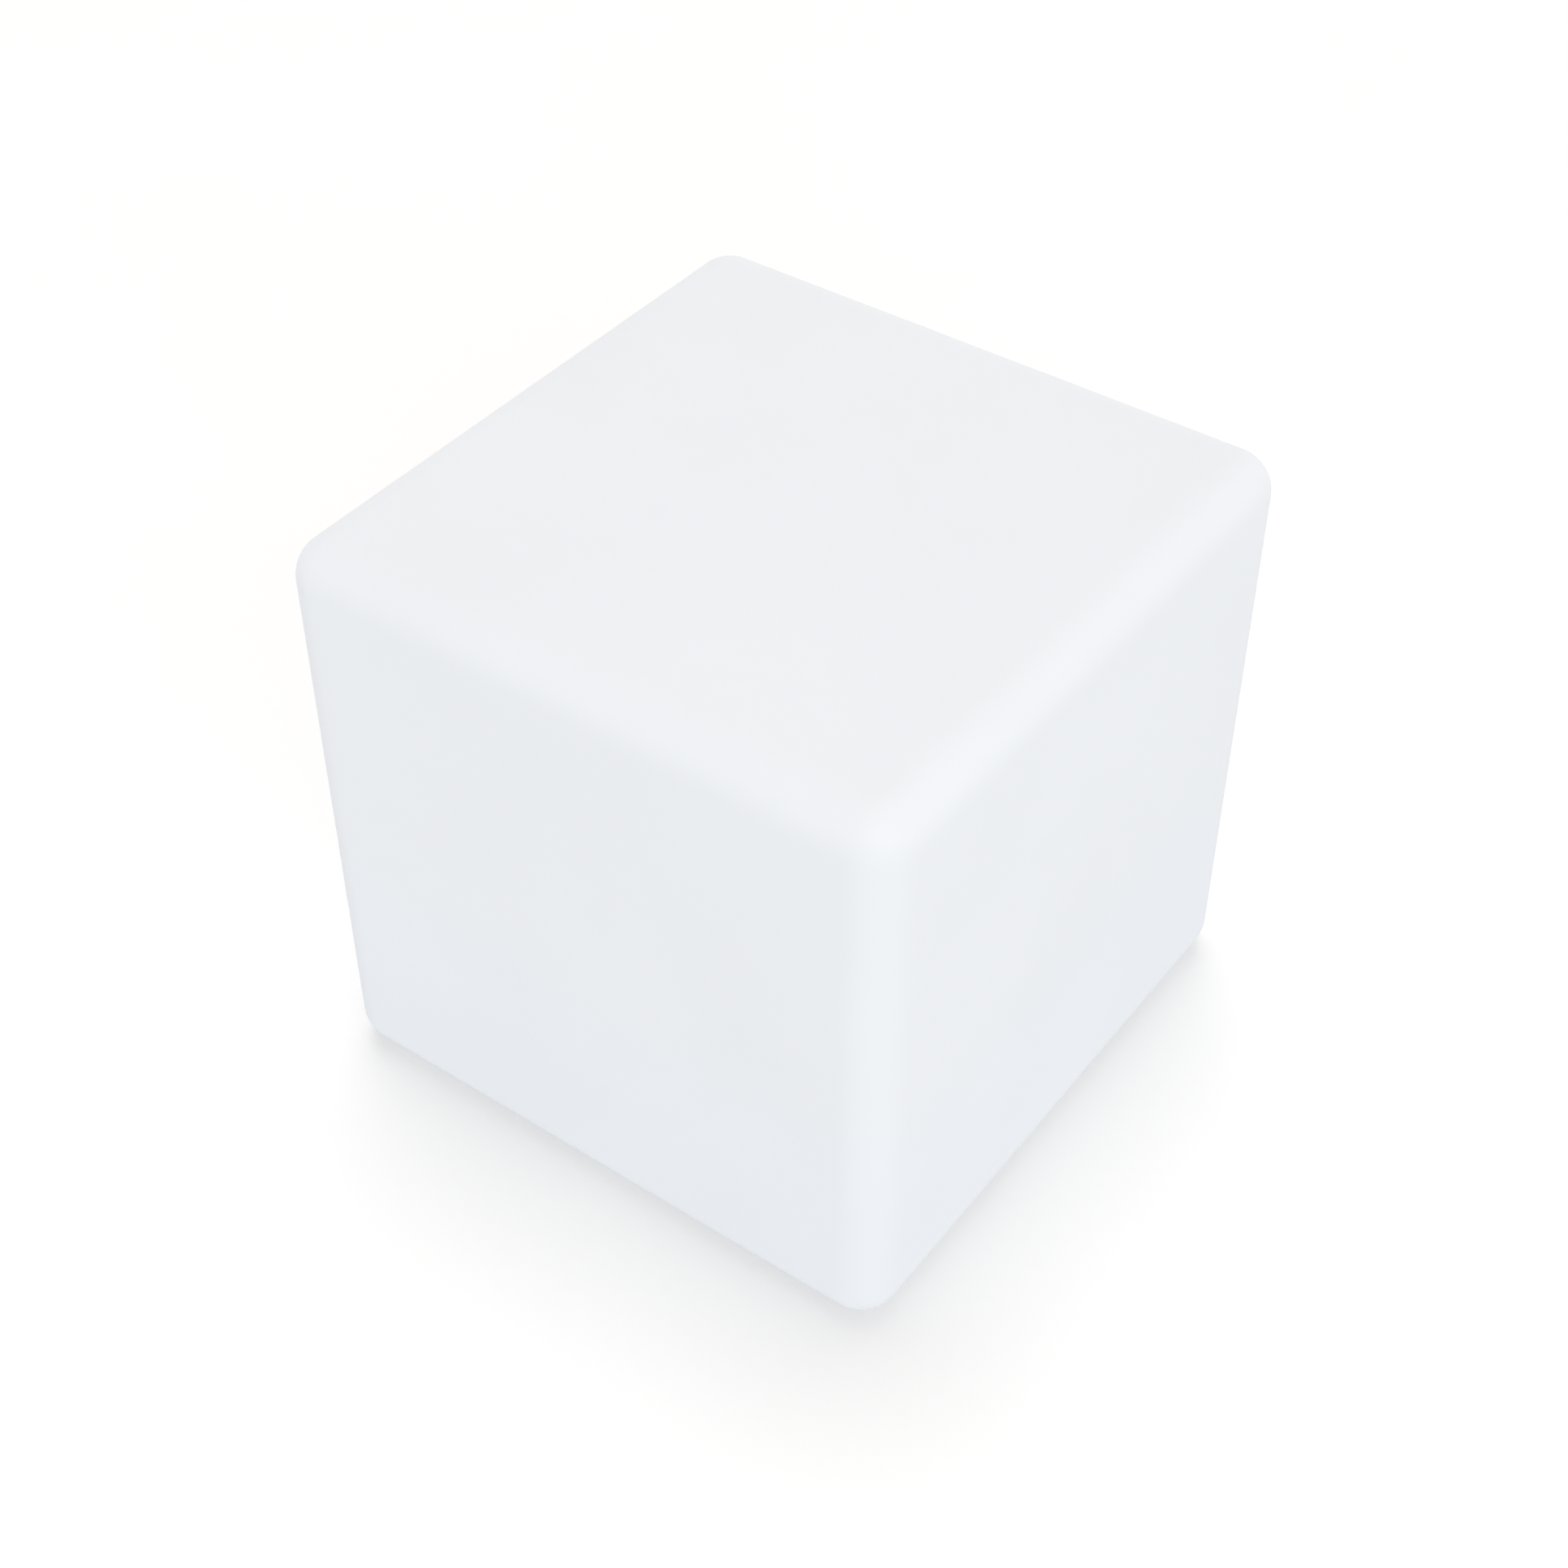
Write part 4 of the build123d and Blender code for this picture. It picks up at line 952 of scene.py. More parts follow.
# %% The screw rule
screw_rule = RuleTree(
    "screw_rule", Head="Object", Places="Object", Radius="Float", Length="Float", Pitch="Float",
    Depth="Float", Over="Float", Seed="Int",
)
POINT_LEAST = 0.55  # how thick the end of a screw is, as a share of its shank


def climbing(rule, x, y, turns):
    """A zigzag between 0 and 1 that climbs one pitch a turn: the section of a thread."""
    climb = turns - rule.maths("ARCTAN2", y, x) / (2 * pi)
    return rule.maths("PINGPONG", climb, 0.5) * 2


def threaded(rule, rows, sides):
    """A shank from height 0 up, with a thread that runs out at both ends."""
    sockets = {"Vertices": sides, "Side Segments": rows, "Radius": 1.0, "Depth": 1.0}
    rod = rule.add("GeometryNodeMeshCylinder", None, sockets).get("Mesh")
    x, y, z = rule.parts(rule.add("GeometryNodeInputPosition"))
    height = (z + 0.5) * rule["Length"]
    wave = climbing(rule, x, y, height / rule["Pitch"])
    inside = rule.least(rule.least((z + 0.5) * 12, (0.5 - z) * 12), 1.0)
    point = rule.least((0.5 - z) * 16, 1.0) * (1 - POINT_LEAST) + POINT_LEAST
    radius = (rule["Radius"] - wave * rule["Depth"] * inside) * point
    return rule.moved(rod, Position=rule.vector(x * radius, y * radius, height))


def set_out(rule, copy, most_turn=2 * pi):
    """Copies on the points of another object, each turned by a seeded amount."""
    drawn = {"Min": 0.0, "Max": most_turn, "Seed": rule["Seed"]}
    turn = rule.add("FunctionNodeRandomValue", {"data_type": "FLOAT"}, drawn)
    sockets = {"Points": rule.shape("Places"), "Instance": copy}
    sockets["Rotation"] = rule.vector(x=rule["Over"], z=turn)
    return rule.add("GeometryNodeInstanceOnPoints", None, sockets)


both_parts = [screw_rule.shape("Head"), threaded(screw_rule, 96, 20)]
whole_screw = screw_rule.add("GeometryNodeJoinGeometry", None, {0: both_parts})
screw_rule.end(set_out(screw_rule, whole_screw))

# %% Screw heads
def pan_head(radius, height):
    """A pan head, seat at height 0 and crown below, with a cross recess that narrows inwards."""
    profile = [
        (0, 0), (radius, 0, 0.12), (radius, -height * 0.5, radius * 0.25),
        (radius * 0.55, -height * 0.97, 0.5), (0, -height),
    ]
    head = turned("head", profile, segments=40)
    blades = []
    for across in (0, 1):
        levels = []
        for z, share in ((-height * 0.35, 0.5), (-height - 0.1, 1.0)):
            x, y = radius * 1.15 * share, radius * 0.3 * (0.5 + share / 2)
            levels.append((z, outline(*((x, y) if across else (y, x)), 0.08, 2)))
        blades.append(stacked("blade", levels))
    return carved(head, "DIFFERENCE", *blades)


def screws(
    name, finish, slot, node, spots, radius, length, head, up=True, pitch=0.7, depth=0.25, seed=1
):
    """A set of screws: heads down where up is true, else heads up."""
    crown = pan_head(*head)
    dots = places(spots)
    piece = grow(
        name, screw_rule, finish, Head=crown, Places=dots, Radius=radius * mm,
        Length=length * mm, Pitch=pitch * mm, Depth=depth * mm, Over=0.0 if up else pi, Seed=seed,
    )
    dropped(crown, dots)
    print(name, len(spots), "screws,", len(piece.data.polygons), "faces")
    return seat(piece, replaces=[node])


# %% [markdown]
# Stainless screws are turned and then tumbled: bright, with fine rings on the crown and a haze
# of tiny scratches. Metal shows mostly as reflection, so what varies is its roughness.

# %% Metals
def metal(name, colour, roughness, scratches=0.02, patina=0.04, length=1.4):
    """A metal whose colour drifts a little and whose polish is broken by fine scratches."""
    finish = Finish(name, colour, roughness, 1.0)
    x, y, z = finish.parts(finish.place)
    fine = finish.noise(1.2, 4.0, place=finish.vector(x * 6, y / length, z * 6))
    cloud = finish.ramp(finish.noise(9.0), (0.35, 0.0), (0.65, 1.0))
    finish.put("Base Color", finish.mix(cloud, finish.shade(-patina), finish.shade(patina)))
    finish.put("Roughness", roughness + (fine - 0.5) * 0.25 + (cloud - 0.5) * 0.06)
    return finish.bump(fine, scratches)


stainless = metal("tumbled_stainless", (0.74, 0.74, 0.74), 0.27)
zinc = metal("zinc_plated_steel", (0.66, 0.69, 0.72), 0.32, patina=0.07)
brass = metal("turned_brass", (0.80, 0.62, 0.30), 0.28)
nickel = metal("nickel_plate", (0.68, 0.66, 0.62), 0.22)
spring_steel = metal("spring_steel", (0.55, 0.55, 0.56), 0.3)
sheet = {"scratches": 0.012, "patina": 0.01, "length": 40.0}
aluminium = metal("rolled_aluminium", (0.82, 0.83, 0.84), 0.36, **sheet)

# %% Base screws
HEAD_SEAT = 8.5
base_circle = around(BASE_SCREWS, SCREW_CIRCLE, height=HEAD_SEAT)
screws(
    "base_screw_set", stainless, "stainless", "base_screws", base_circle, 2.0, 10.9, (3.95, 2.35),
    depth=0.3, seed=4,
)

# %% [markdown]
# ## Inserts and gasket
#
# Each screw bites into a brass insert that was laid in the mould. Its two bands are knurled so
# that the plastic locks round them. The knurl is a rule again: a turned insert whose radius
# follows two waves that cross. Between flange and shell lies a foam rubber ring, with the small
# torn cells of cut foam on its edge.

# %% Knurled inserts
insert_rule = RuleTree(
    "insert_rule", Blank="Object", Places="Object", Depth="Float", Teeth="Float", Over="Float",
    Seed="Int",
)
KNURL_LEAN = pi / 0.0009


def knurled(rule):
    """The blank with its outermost points pushed in by two waves that cross."""
    x, y, z = rule.parts(rule.add("GeometryNodeInputPosition"))
    turn = rule.maths("ARCTAN2", y, x) * rule["Teeth"]
    lean = z * KNURL_LEAN
    wave = rule.maths("COSINE", turn + lean) * rule.maths("COSINE", turn - lean)
    away = rule.maths("SQRT", x * x + y * y)
    rim = rule.maths("GREATER_THAN", away, (INSERT_R - 0.02) * mm)
    inward = (wave * 0.5 - 0.5) * rule["Depth"] * rim
    return rule.moved(rule.shape("Blank"), Offset=rule.vector(x / away * inward, y / away * inward))


insert_rule.end(set_out(insert_rule, knurled(insert_rule)))
band = [(INSERT_R, 0.3 + 0.36 * i) for i in range(9)]
waist = [(2.75, 3.7), (2.75, 5.3)]
bore = [(2.05, 8.95), (2.05, 0.05)]
insert_line = [(2.9, 0.02), *band, *waist, *[(r, z + 5.5) for r, z in band], (2.9, 8.98), *bore]
blank = turned("blank", insert_line, segments=80)
dots = places(around(BASE_SCREWS, SCREW_CIRCLE, height=SEAT_Z))
inserts = grow(
    "knurled_inserts", insert_rule, brass, Blank=blank, Places=dots, Depth=0.25 * mm, Teeth=20.0,
    Over=0.0, Seed=2,
)
dropped(blank, dots)
seat(inserts, replaces=["threaded_inserts"])
print("inserts", len(inserts.data.polygons), "faces")

# %% Foam gasket
foam = Finish("cut_foam_rubber", (0.06, 0.06, 0.065), 0.85)
foam.drift(6.0, 0.12)
torn = foam.add("ShaderNodeTexVoronoi", {"feature": "F1"}, {"Vector": foam.place, "Scale": 2.6})
foam.bump(torn, 0.12).grain(0.3, 0.04)
dressed("base_gasket", foam, "foam_gasket")

# %% [markdown]
# ## The switch
#
# A domed push button in a black bezel. The bezel's barrel is threaded and drawn tight by a
# hexagon nut on the inside, with a thin rubber washer under the bezel. The button is dished so
# that a fingertip finds it. The barrel's thread is cut by the same wave as the screws'.

# %% Plastics of the switch
def plastic(name, colour, roughness, grain=0.5, depth=0.01, share=0.04):
    """A moulded plastic: a drift of tone and a fine skin."""
    return Finish(name, colour, roughness).drift(14.0, share, rough=0.04).grain(grain, depth)


black_pp = plastic("black_polypropylene", (0.028, 0.028, 0.03), 0.42, share=0.15)
button_black = plastic("button_black", (0.02, 0.02, 0.022), 0.33, share=0.15)
soft_sheen = {"Sheen Weight": 0.15, "Sheen Roughness": 0.4}
silicone = Finish("soft_silicone", (0.62, 0.63, 0.64), 0.62, constants=soft_sheen)
silicone.drift(9.0, 0.02, rough=0.05).grain(0.35, 0.012)

# %% Sizes of the switch
BEZEL_Z, FINGER_TOP = 8.5, 14.0
BARREL_R, SHOULDER_Z, CHAMBER_TOP, BARREL_END = 6.0, 12.1, 25.0, 27.0
CHAMBER_R, BUTTON_ROOM, THREAD_LOW = 5.0, 4.25, 10.9
on_switch = (SWITCH_X, 0, 0)

# %% The barrel's thread as a rule
barrel_rule = RuleTree(
    "barrel_rule", Blank="Object", Radius="Float", Pitch="Float", Depth="Float", Low="Float",
)
x, y, z = barrel_rule.parts(barrel_rule.add("GeometryNodeInputPosition"))
wave = climbing(barrel_rule, x, y, z / barrel_rule["Pitch"])
away = barrel_rule.maths("SQRT", x * x + y * y)
on_thread = barrel_rule.maths("GREATER_THAN", away, barrel_rule["Radius"] - 0.01 * mm)
on_thread = on_thread * barrel_rule.maths("LESS_THAN", away, barrel_rule["Radius"] + 0.01 * mm)
on_thread = on_thread * barrel_rule.maths("GREATER_THAN", z, barrel_rule["Low"])
share = wave * on_thread * barrel_rule["Depth"] / away
push = barrel_rule.vector(x * share * -1, y * share * -1)
barrel_rule.end(barrel_rule.moved(barrel_rule.shape("Blank"), Offset=push))

# %% Switch body
rows = [(BARREL_R, 10.6 + 0.14 * i) for i in range(115)]
bore = [
    (0, BARREL_END), (0, CHAMBER_TOP), (CHAMBER_R, CHAMBER_TOP), (CHAMBER_R, SHOULDER_Z),
    (BUTTON_ROOM, SHOULDER_Z), (BUTTON_ROOM, BEZEL_Z + 0.5), (4.65, BEZEL_Z + 0.02),
]
bezel = [
    (6.6, BEZEL_Z + 0.02, 0.3), (7.45, BEZEL_Z + 0.9, 0.5), (7.45, 10.48, 0.1),
    (BARREL_R, 10.48),
]
blank = turned("blank", [*bore, *bezel, *rows, (5.6, BARREL_END)], segments=64)
barrel = grow(
    "switch_barrel", barrel_rule, black_pp, Blank=blank, Radius=BARREL_R * mm, Pitch=1.0 * mm,
    Depth=0.35 * mm, Low=THREAD_LOW * mm,
)
dropped(blank)
seat(shifted(barrel, on_switch), replaces=["switch_body"])

# %% Washer and nut
washer_line = [(6.06, 10.51, 0.1), (6.78, 10.51, 0.2), (6.78, 10.99, 0.2), (6.06, 10.99, 0.1)]
washer = turned("switch_washer", washer_line, foam, on_switch)
seat(washer, replaces=["switch_seal"])

nut_line = [
    (6.05, FINGER_TOP, 0.2), (7.45, FINGER_TOP, 0.2), (7.5, FINGER_TOP + 0.8),
    (8.7, FINGER_TOP + 0.8, 0.3), (8.7, FINGER_TOP + 1.9), (7.6, FINGER_TOP + 2.5),
    (6.05, FINGER_TOP + 2.5, 0.2),
]
nut = turned("switch_nut_hexagon", nut_line, nickel, on_switch, segments=96)
flats = [(8.66 * cos(radians(60 * i)), 8.66 * sin(radians(60 * i))) for i in range(6)]
prism = stacked("prism", [(z, flats) for z in (FINGER_TOP - 1, FINGER_TOP + 4)], at=on_switch)
seat(carved(nut, "INTERSECT", prism), replaces=["switch_nut"])

# %% Button and contact
DISH_R, DISH_EDGE = 22.0, 90 - 9.3
dish = arc((0, 6.55 - DISH_R), DISH_R, 90, DISH_EDGE, 8)
cap_line = [
    *dish, (4.2, 6.3 + 0.02, 0.55), (4.2, 12.2), (4.75, 12.2, 0.15), (4.75, 13.4, 0.15),
    (1.4, 13.4), (1.4, 19.38), (0, 19.38),
]
cap = turned("button_cap_domed", cap_line, button_black, on_switch, segments=72)
seat(cap, "button", ["button_cap"])
contact_line = [(0, 19.4), (3.0, 19.4, 0.1), (3.0, 20.0, 0.1), (2.2, 20.0), (2.0, 19.9), (0, 19.9)]
contact = turned("switch_contact_disc", contact_line, brass, on_switch, segments=40)
seat(contact, "button", ["switch_contact"])

# %% [markdown]
# ## The charging port and its cover
#
# Under a silicone cover is a socket for a 5.5 mm plug. The cover is one soft moulding: a plug
# with a sealing lip, a disc, a tab for a fingernail, and a strap to an anchor that is pulled
# through the case. Nothing in it is a hinge; the strap bends where it is thinnest. So it is
# built as one skin, with close rings of points across the bend, and the engineering model's
# cover and anchor are hidden.


def strap_rings():
    """Sections of the strap from the anchor's pad across the bend and into the disc."""
    stations = [(-22.0, 6.9, 8.25, 5.2), (-22.3, 6.75, 8.4, 5.9)]
    stations += [(-26.0, 6.75, 8.4, 6.0), (-28.0, 6.8, 8.35, 6.0)]
    stations += [(-28.4 - 0.32 * i, 7.12, 7.9, 5.8) for i in range(11)]
    stations += [(-32.2, 6.95, 8.1, 6.0), (-36.5, 6.95, 8.1, 6.0)]
    rings = []
    for x, low, high, wide in stations:
        section = outline(wide, high - low, 0.3, 2)
        rings.append([(x, y, z + (low + high) / 2) for y, z in section])
    return rings


strap = lofted("port_cover_silicone", strap_rings(), silicone)

# %% Cover
port = (PORT_X, 0, 0)
disc_line = [
    (0, 6.6), (3.0, 6.6), (7.4, 6.75), (8.2, 7.1, 0.25), (8.2, 8.36, 0.2), (0, 8.36),
]
disc = turned("disc", disc_line, silicone, port, 72)
tab = slab("tab", 6.0, 7.0, 6.7, 8.1, 2.6, 0.35, silicone, (-50.2, 0, 0))
ridges = [
    slab("ridge", 0.5, 4.4, 6.4, 6.9, 0.24, 0.2, silicone, (x, 0, 0))
    for x in (-52.3, -51.3, -50.75)
]
plug_line = [
    (0, 8.3), (5.6, 8.3), (5.6, 9.1), (5.9, 9.6, 0.3), (5.6, 10.1), (5.0, 11.6, 0.3),
    (3.6, 11.6, 0.2), (3.6, 8.7, 0.4), (0, 8.7),
]
plug = turned("plug", plug_line, silicone, port, 56)
stud_line = [(0, 8.3), (1.8, 8.3), (1.8, 10.1), (2.9, 10.1, 0.15), (1.9, 12.1, 0.5), (0, 12.1)]
stud = turned("stud", stud_line, silicone, (STUD_X, 0, 0), 40)
cover = evened(carved(strap, "UNION", disc, tab, plug, stud, *ridges))
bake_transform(cover)
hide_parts("port_cover", "port_cover_anchor")
print("cover", len(cover.data.polygons), "faces")

# %% [markdown]
# The socket behind the plug's well is a moulded block with a round nose, a pin down its middle
# and a spring contact in its side. All three terminals come out at the top, through a small
# board. Next to it a clear rod brings the charge diode's light down to the face of the case.

# %% Charging socket
JACK_Z = 13.5
jack_black = plastic("jack_black_pbt", (0.03, 0.03, 0.032), 0.5, grain=0.4, share=0.1)
block = slab("charging_socket", 9.4, 11.4, 17.0, 26.48, 0.8, 0.25, jack_black, port)
nose_line = [(0, JACK_Z + 0.02), (4.6, JACK_Z + 0.02, 0.3), (4.6, 17.5), (0, 17.5)]
nose = turned("nose", nose_line, jack_black, port)
bore_line = [(0, 13), (3.2, 13), (3.2, 13.55), (2.85, 13.95), (2.85, 23), (0, 23)]
bore = turned("bore", bore_line, jack_black, port)
window = slab("window", 1.6, 3.0, 18.5, 24.0, 0.2, 0.1, jack_black, (PORT_X - 4.7, 0, 0))
jack = carved(carved(block, "UNION", nose), "DIFFERENCE", bore, window)
seat(jack, replaces=["charging_jack"])

# %% Pin and light pipe
pin_line = [*arc((0, 16.1), 0.6, -90, -10, 5), (0.98, 16.6), (0.98, 22.99), (0, 22.99)]
pin = turned("socket_pin", pin_line, nickel, port, 32)
seat(pin, replaces=["charging_pin"])
see_through = {"Transmission Weight": 0.85, "IOR": 1.58}
clear_pc = Finish("clear_polycarbonate", (0.90, 0.91, 0.90), 0.12, constants=see_through)
clear_pc.drift(5.0, 0.01).grain(0.8, 0.004)
pipe_line = [
    (0, 6.15), (1.1, 6.2), (1.48, 6.5), (1.48, 10.02), (2.0, 10.02, 0.15), (2.0, 12.0, 0.15),
    (1.5, 12.0), (1.5, 25.4, 0.2), (0, 25.4),
]
pipe = turned("charge_pipe", pipe_line, clear_pc, (PORT_X, PIPE_Y, 0), 40)
seat(pipe, replaces=["charge_light_pipe"])

# %% [markdown]
# ## Copies on points, and rings of copies
#
# Everything from here on sits inside the cup and the cube. It is seen when the lamp is opened,
# taken apart on screen, or looked at part by part, so it is finished as carefully as the rest.
# Much of it comes in rows and rings, and two short rules set those out.

# %% Rules for rows and rings
copy_rule = RuleTree(
    "copy_rule", Copy="Object", Places="Object", Over="Float", Turn="Float", Seed="Int",
)
copy_rule.end(set_out(copy_rule, copy_rule.shape("Copy"), copy_rule["Turn"]))

ring_rule = RuleTree("ring_rule", Copy="Object", Count="Int", Radius="Float")
radius = ring_rule["Radius"]
ring_rule.end(ring_of(ring_rule, ring_rule.shape("Copy"), ring_rule["Count"], radius, 0.0))


def copies(name, finish, copy, points, over=0.0, turn=0.0, seed=0):
    """Copies of a shape on points, tipped over about X and turned at random about Z."""
    dots = places(points)
    piece = grow(name, copy_rule, finish, Copy=copy, Places=dots, Over=over, Turn=turn, Seed=seed)
    dropped(copy, dots)
    return piece


def ringed(name, finish, copy, count, radius):
    """Copies of a shape set out evenly on a circle."""
    piece = grow(name, ring_rule, finish, Copy=copy, Count=count, Radius=radius * mm)
    dropped(copy)
    return piece


# %% [markdown]
# ## The battery
#
# Two steel cells lie side by side, one turned end for end, in shrink sleeves. A sleeve is thin
# and glossy, draws in round the crimped neck, and leaves faint ripples round the ends. Nickel
# strips are spot-welded across the ends, and a plastic strap holds the pair down on its ribs.

# %% Sleeve of the cells
sleeve_blue = Finish("shrink_sleeve", (0.05, 0.16, 0.42), 0.24, constants={"Coat Weight": 0.3})
x, y, z = sleeve_blue.parts(sleeve_blue.place)
ripples = sleeve_blue.noise(2.5, 3.0, place=sleeve_blue.vector(x * 0.2, y * 3, z * 0.2))
sleeve_blue.drift(12.0, 0.08, rough=0.05).bump(ripples, 0.06)

# %% Cells
wrap_line = [
    (7.0, -32.48), (9.2, -32.48, 0.7), (9.2, 28.3, 0.2), (8.72, 28.9, 0.4), (9.2, 29.5, 0.2),
    (9.2, 31.85, 0.6), (5.4, 31.85), (5.4, 31.5), (7.0, 31.5), (7.0, -32.2),
]
nub_line = [
    (0, 31.3), (5.4, 31.3), (5.4, 31.75, 0.1), (4.2, 31.8), (3.2, 32.1, 0.1),
    (3.1, 32.48, 0.3), (0, 32.48),
]
end_line = [(0, -32.4), (7.0, -32.4, 0.1), (7.0, -31.5), (0, -31.5)]


def cell(x, turn):
    """One cell along Y, its nub towards +Y until it is turned."""
    wrap = turned("wrap", wrap_line, sleeve_blue, axis="Y")
    nub = turned("top", nub_line, nickel, axis="Y")
    end = turned("base", end_line, nickel, axis="Y")
    return shifted(joined("cell", wrap, nub, end), (x, 0, CELL_Z), turn)


cells = joined("battery_cell_pair", cell(-CELL_X, 0), cell(CELL_X, 180))
seat(cells, replaces=["battery_cells"])
print("cells", [round(v / mm, 1) for v in cells.dimensions], "mm")

# %% Tabs, welds and strap
TAB_Y = 32.8
dressed("battery_tabs", nickel, "nickel_strips")
weld_line = [(0, 0), (0.55, 0), (0.5, 0.05), (0.3, 0.03), (0, 0.09)]
steps = [(dx, dz) for dx in (-1.6, 1.6) for dz in (-1.3, 1.3)]
spots = [(x + dx, CELL_Z + dz) for x in (-CELL_X, CELL_X) for dx, dz in steps]


def welds(name, way):
    """Four spot welds a cell, on the strips at the end towards +Y or -Y."""
    weld = turned("weld", weld_line, segments=16)
    return copies(name, nickel, weld, [(x, way * TAB_Y, z) for x, z in spots], over=-way * pi / 2)


seat(joined("tab_welds", welds("welds_front", 1), welds("welds_back", -1)))
dressed("battery_strap", black_pp, "cell_strap", angle=40)

# %% Thread-forming screws
STRAP_THICK, BOARD_THICK = 2.0, 1.6
thread_forming = {"head": (2.35, 1.65), "up": False, "pitch": 0.9, "depth": 0.22}
for name, node, held, thick, seed in (
    ("strap_screw_pair", "strap_screws", STRAP_POSTS, STRAP_THICK, 5),
    ("control_board_screw_set", "control_board_screws", BOARD_POSTS, BOARD_THICK, 6),
    ("socket_board_screw_pair", "jack_board_screws", JACK_POSTS, BOARD_THICK, 7),
):
    spots = [(x, y, z + thick) for x, y, z in held]
    screws(name, zinc, "zinc_steel", node, spots, 1.25, 6.9, seed=seed, **thread_forming)


# %% [markdown]
# ## Circuit boards
#
# A board is glass laminate under a coat of solder mask. Copper tracks run beneath the mask and
# show as slightly lighter, slightly raised lines, with small tinned holes where they change
# sides. Tracks keep to lanes, run square to the edges, and step sideways at 45 degrees, all
# together. So the board is cut into regions with a Voronoi pattern, each region picks its
# direction, and within one a zigzag shifts the lanes and a random number empties some.

# %% Tracks
LANE, STEP_EVERY, STEP = 1.15, 7.0, 2.0


def tracks(finish, flat):
    """1 on a track and 0 between, in millimetres on the board's plane."""
    x, y, _ = finish.parts(flat)
    kind = {"feature": "F1", "distance": "CHEBYCHEV"}
    sockets = {"Vector": flat, "Scale": 0.075, "Randomness": 0.8}
    region = finish.add("ShaderNodeTexVoronoi", kind, sockets)
    first, second, third = finish.parts(region.get("Color"))
    turned_over = finish.maths("GREATER_THAN", first, 0.5)
    along, across = x + (y - x) * turned_over, y + (x - y) * turned_over
    zigzag = finish.maths("PINGPONG", along + second * 9.0, STEP_EVERY) - STEP
    lane = (across + finish.least(finish.most(zigzag, 0.0), STEP)) / LANE
    number = finish.vector(finish.maths("FLOOR", lane), third * 20.0)
    drawn = finish.add("ShaderNodeTexWhiteNoise", None, {"Vector": number})
    used = finish.maths("GREATER_THAN", drawn, 0.4)
    off = finish.maths("ABSOLUTE", finish.maths("FRACT", lane) - 0.5)
    return finish.ramp(off, (0.14, 1.0), (0.18, 0.0)) * used


# %% Board finish
TINNED = (0.62, 0.61, 0.58, 1.0)
LAMINATE = (0.50, 0.45, 0.26, 1.0), (0.66, 0.60, 0.38, 1.0)


def board_finish(name, mask, share, roughness=0.3):
    """Solder mask over tracks, with tinned holes, and bare laminate at the cut edge."""
    finish = Finish(name, mask, roughness)
    x, y, _ = finish.parts(finish.place)
    flat = finish.vector(x, y)
    track = tracks(finish, flat)
    hole = finish.add("ShaderNodeTexVoronoi", {"feature": "F1"}, {"Vector": flat, "Scale": 0.16})
    tinned = finish.maths("LESS_THAN", hole, 0.065)
    upward = finish.parts(finish.add("ShaderNodeNewGeometry").get("Normal"))[2]
    edge = finish.maths("LESS_THAN", finish.maths("ABSOLUTE", upward), 0.5)
    tone = finish.mix(track, finish.colour, finish.shade(share))
    tone = finish.mix(tinned, tone, TINNED)
    weave = finish.mix(finish.noise(0.4), *LAMINATE)
    finish.put("Base Color", finish.mix(edge, tone, weave))
    finish.put("Metallic", tinned * (1 - edge))
    finish.put("Roughness", roughness + (finish.noise(4.0) - 0.5) * 0.12 + edge * 0.35)
    return finish.bump(track - tinned * 0.7, 0.035)


# %% Boards
board_green = board_finish("green_solder_mask", (0.02, 0.20, 0.09), 0.5)
board_white = board_finish("white_solder_mask", (0.82, 0.83, 0.82), -0.07, 0.35)
tin = metal("solder_tin", (0.72, 0.72, 0.70), 0.3, patina=0.06)
dressed("control_board", board_green, "control_board_masked")
dressed("jack_board", board_green, "socket_board_masked")
dressed("led_board", board_white, "light_board_masked")

# %% [markdown]
# ## Parts on the control board
#
# The controller is a sixteen-pin package. Its legs leave the middle of the body, step down and
# end in flat feet, and one leg drawn in profile and copied along the row makes all sixteen.

# %% Controller
BOARD_TOP, CHIP_Y = BOARD_Z + BOARD_THICK, 2.0
epoxy = Finish("moulded_epoxy", (0.02, 0.02, 0.022), 0.55)
epoxy.drift(3.0, 0.2, rough=0.06).grain(0.15, 0.012, detail=3.0)
tapers = ((0.28, 0.35), (1.1, 0.0), (1.2, 0.0), (2.12, 0.4))
levels = [(z, outline(7.5 - s, 10 - s, 0.25, 2)) for z, s in tapers]
chip = stacked("controller_package", levels, epoxy, (0, CHIP_Y, BOARD_TOP))
dimple_line = [(0, 2.0), (0.5, 2.0), (0.6, 2.3), (0, 2.3)]
dimple = turned("dimple", dimple_line, epoxy, (-2.5, 5.7, BOARD_TOP), 24)
seat(carved(chip, "DIFFERENCE", dimple), replaces=["controller_chip"])

# %% Legs of the controller
LEG_PITCH = 1.27
leg_line = [
    (3.6, 1.22), (4.2, 1.22), (4.38, 1.1), (4.6, 0.3), (4.72, 0.2), (5.14, 0.17),
    (5.14, 0.02), (4.62, 0.02), (4.42, 0.14), (4.2, 1.0), (4.12, 1.07), (3.6, 1.07),
]


def gull_leg(side):
    """One leg of the row at +X or -X."""
    return lofted("leg", [[(side * x, y, z) for x, z in leg_line] for y in (-0.21, 0.21)])


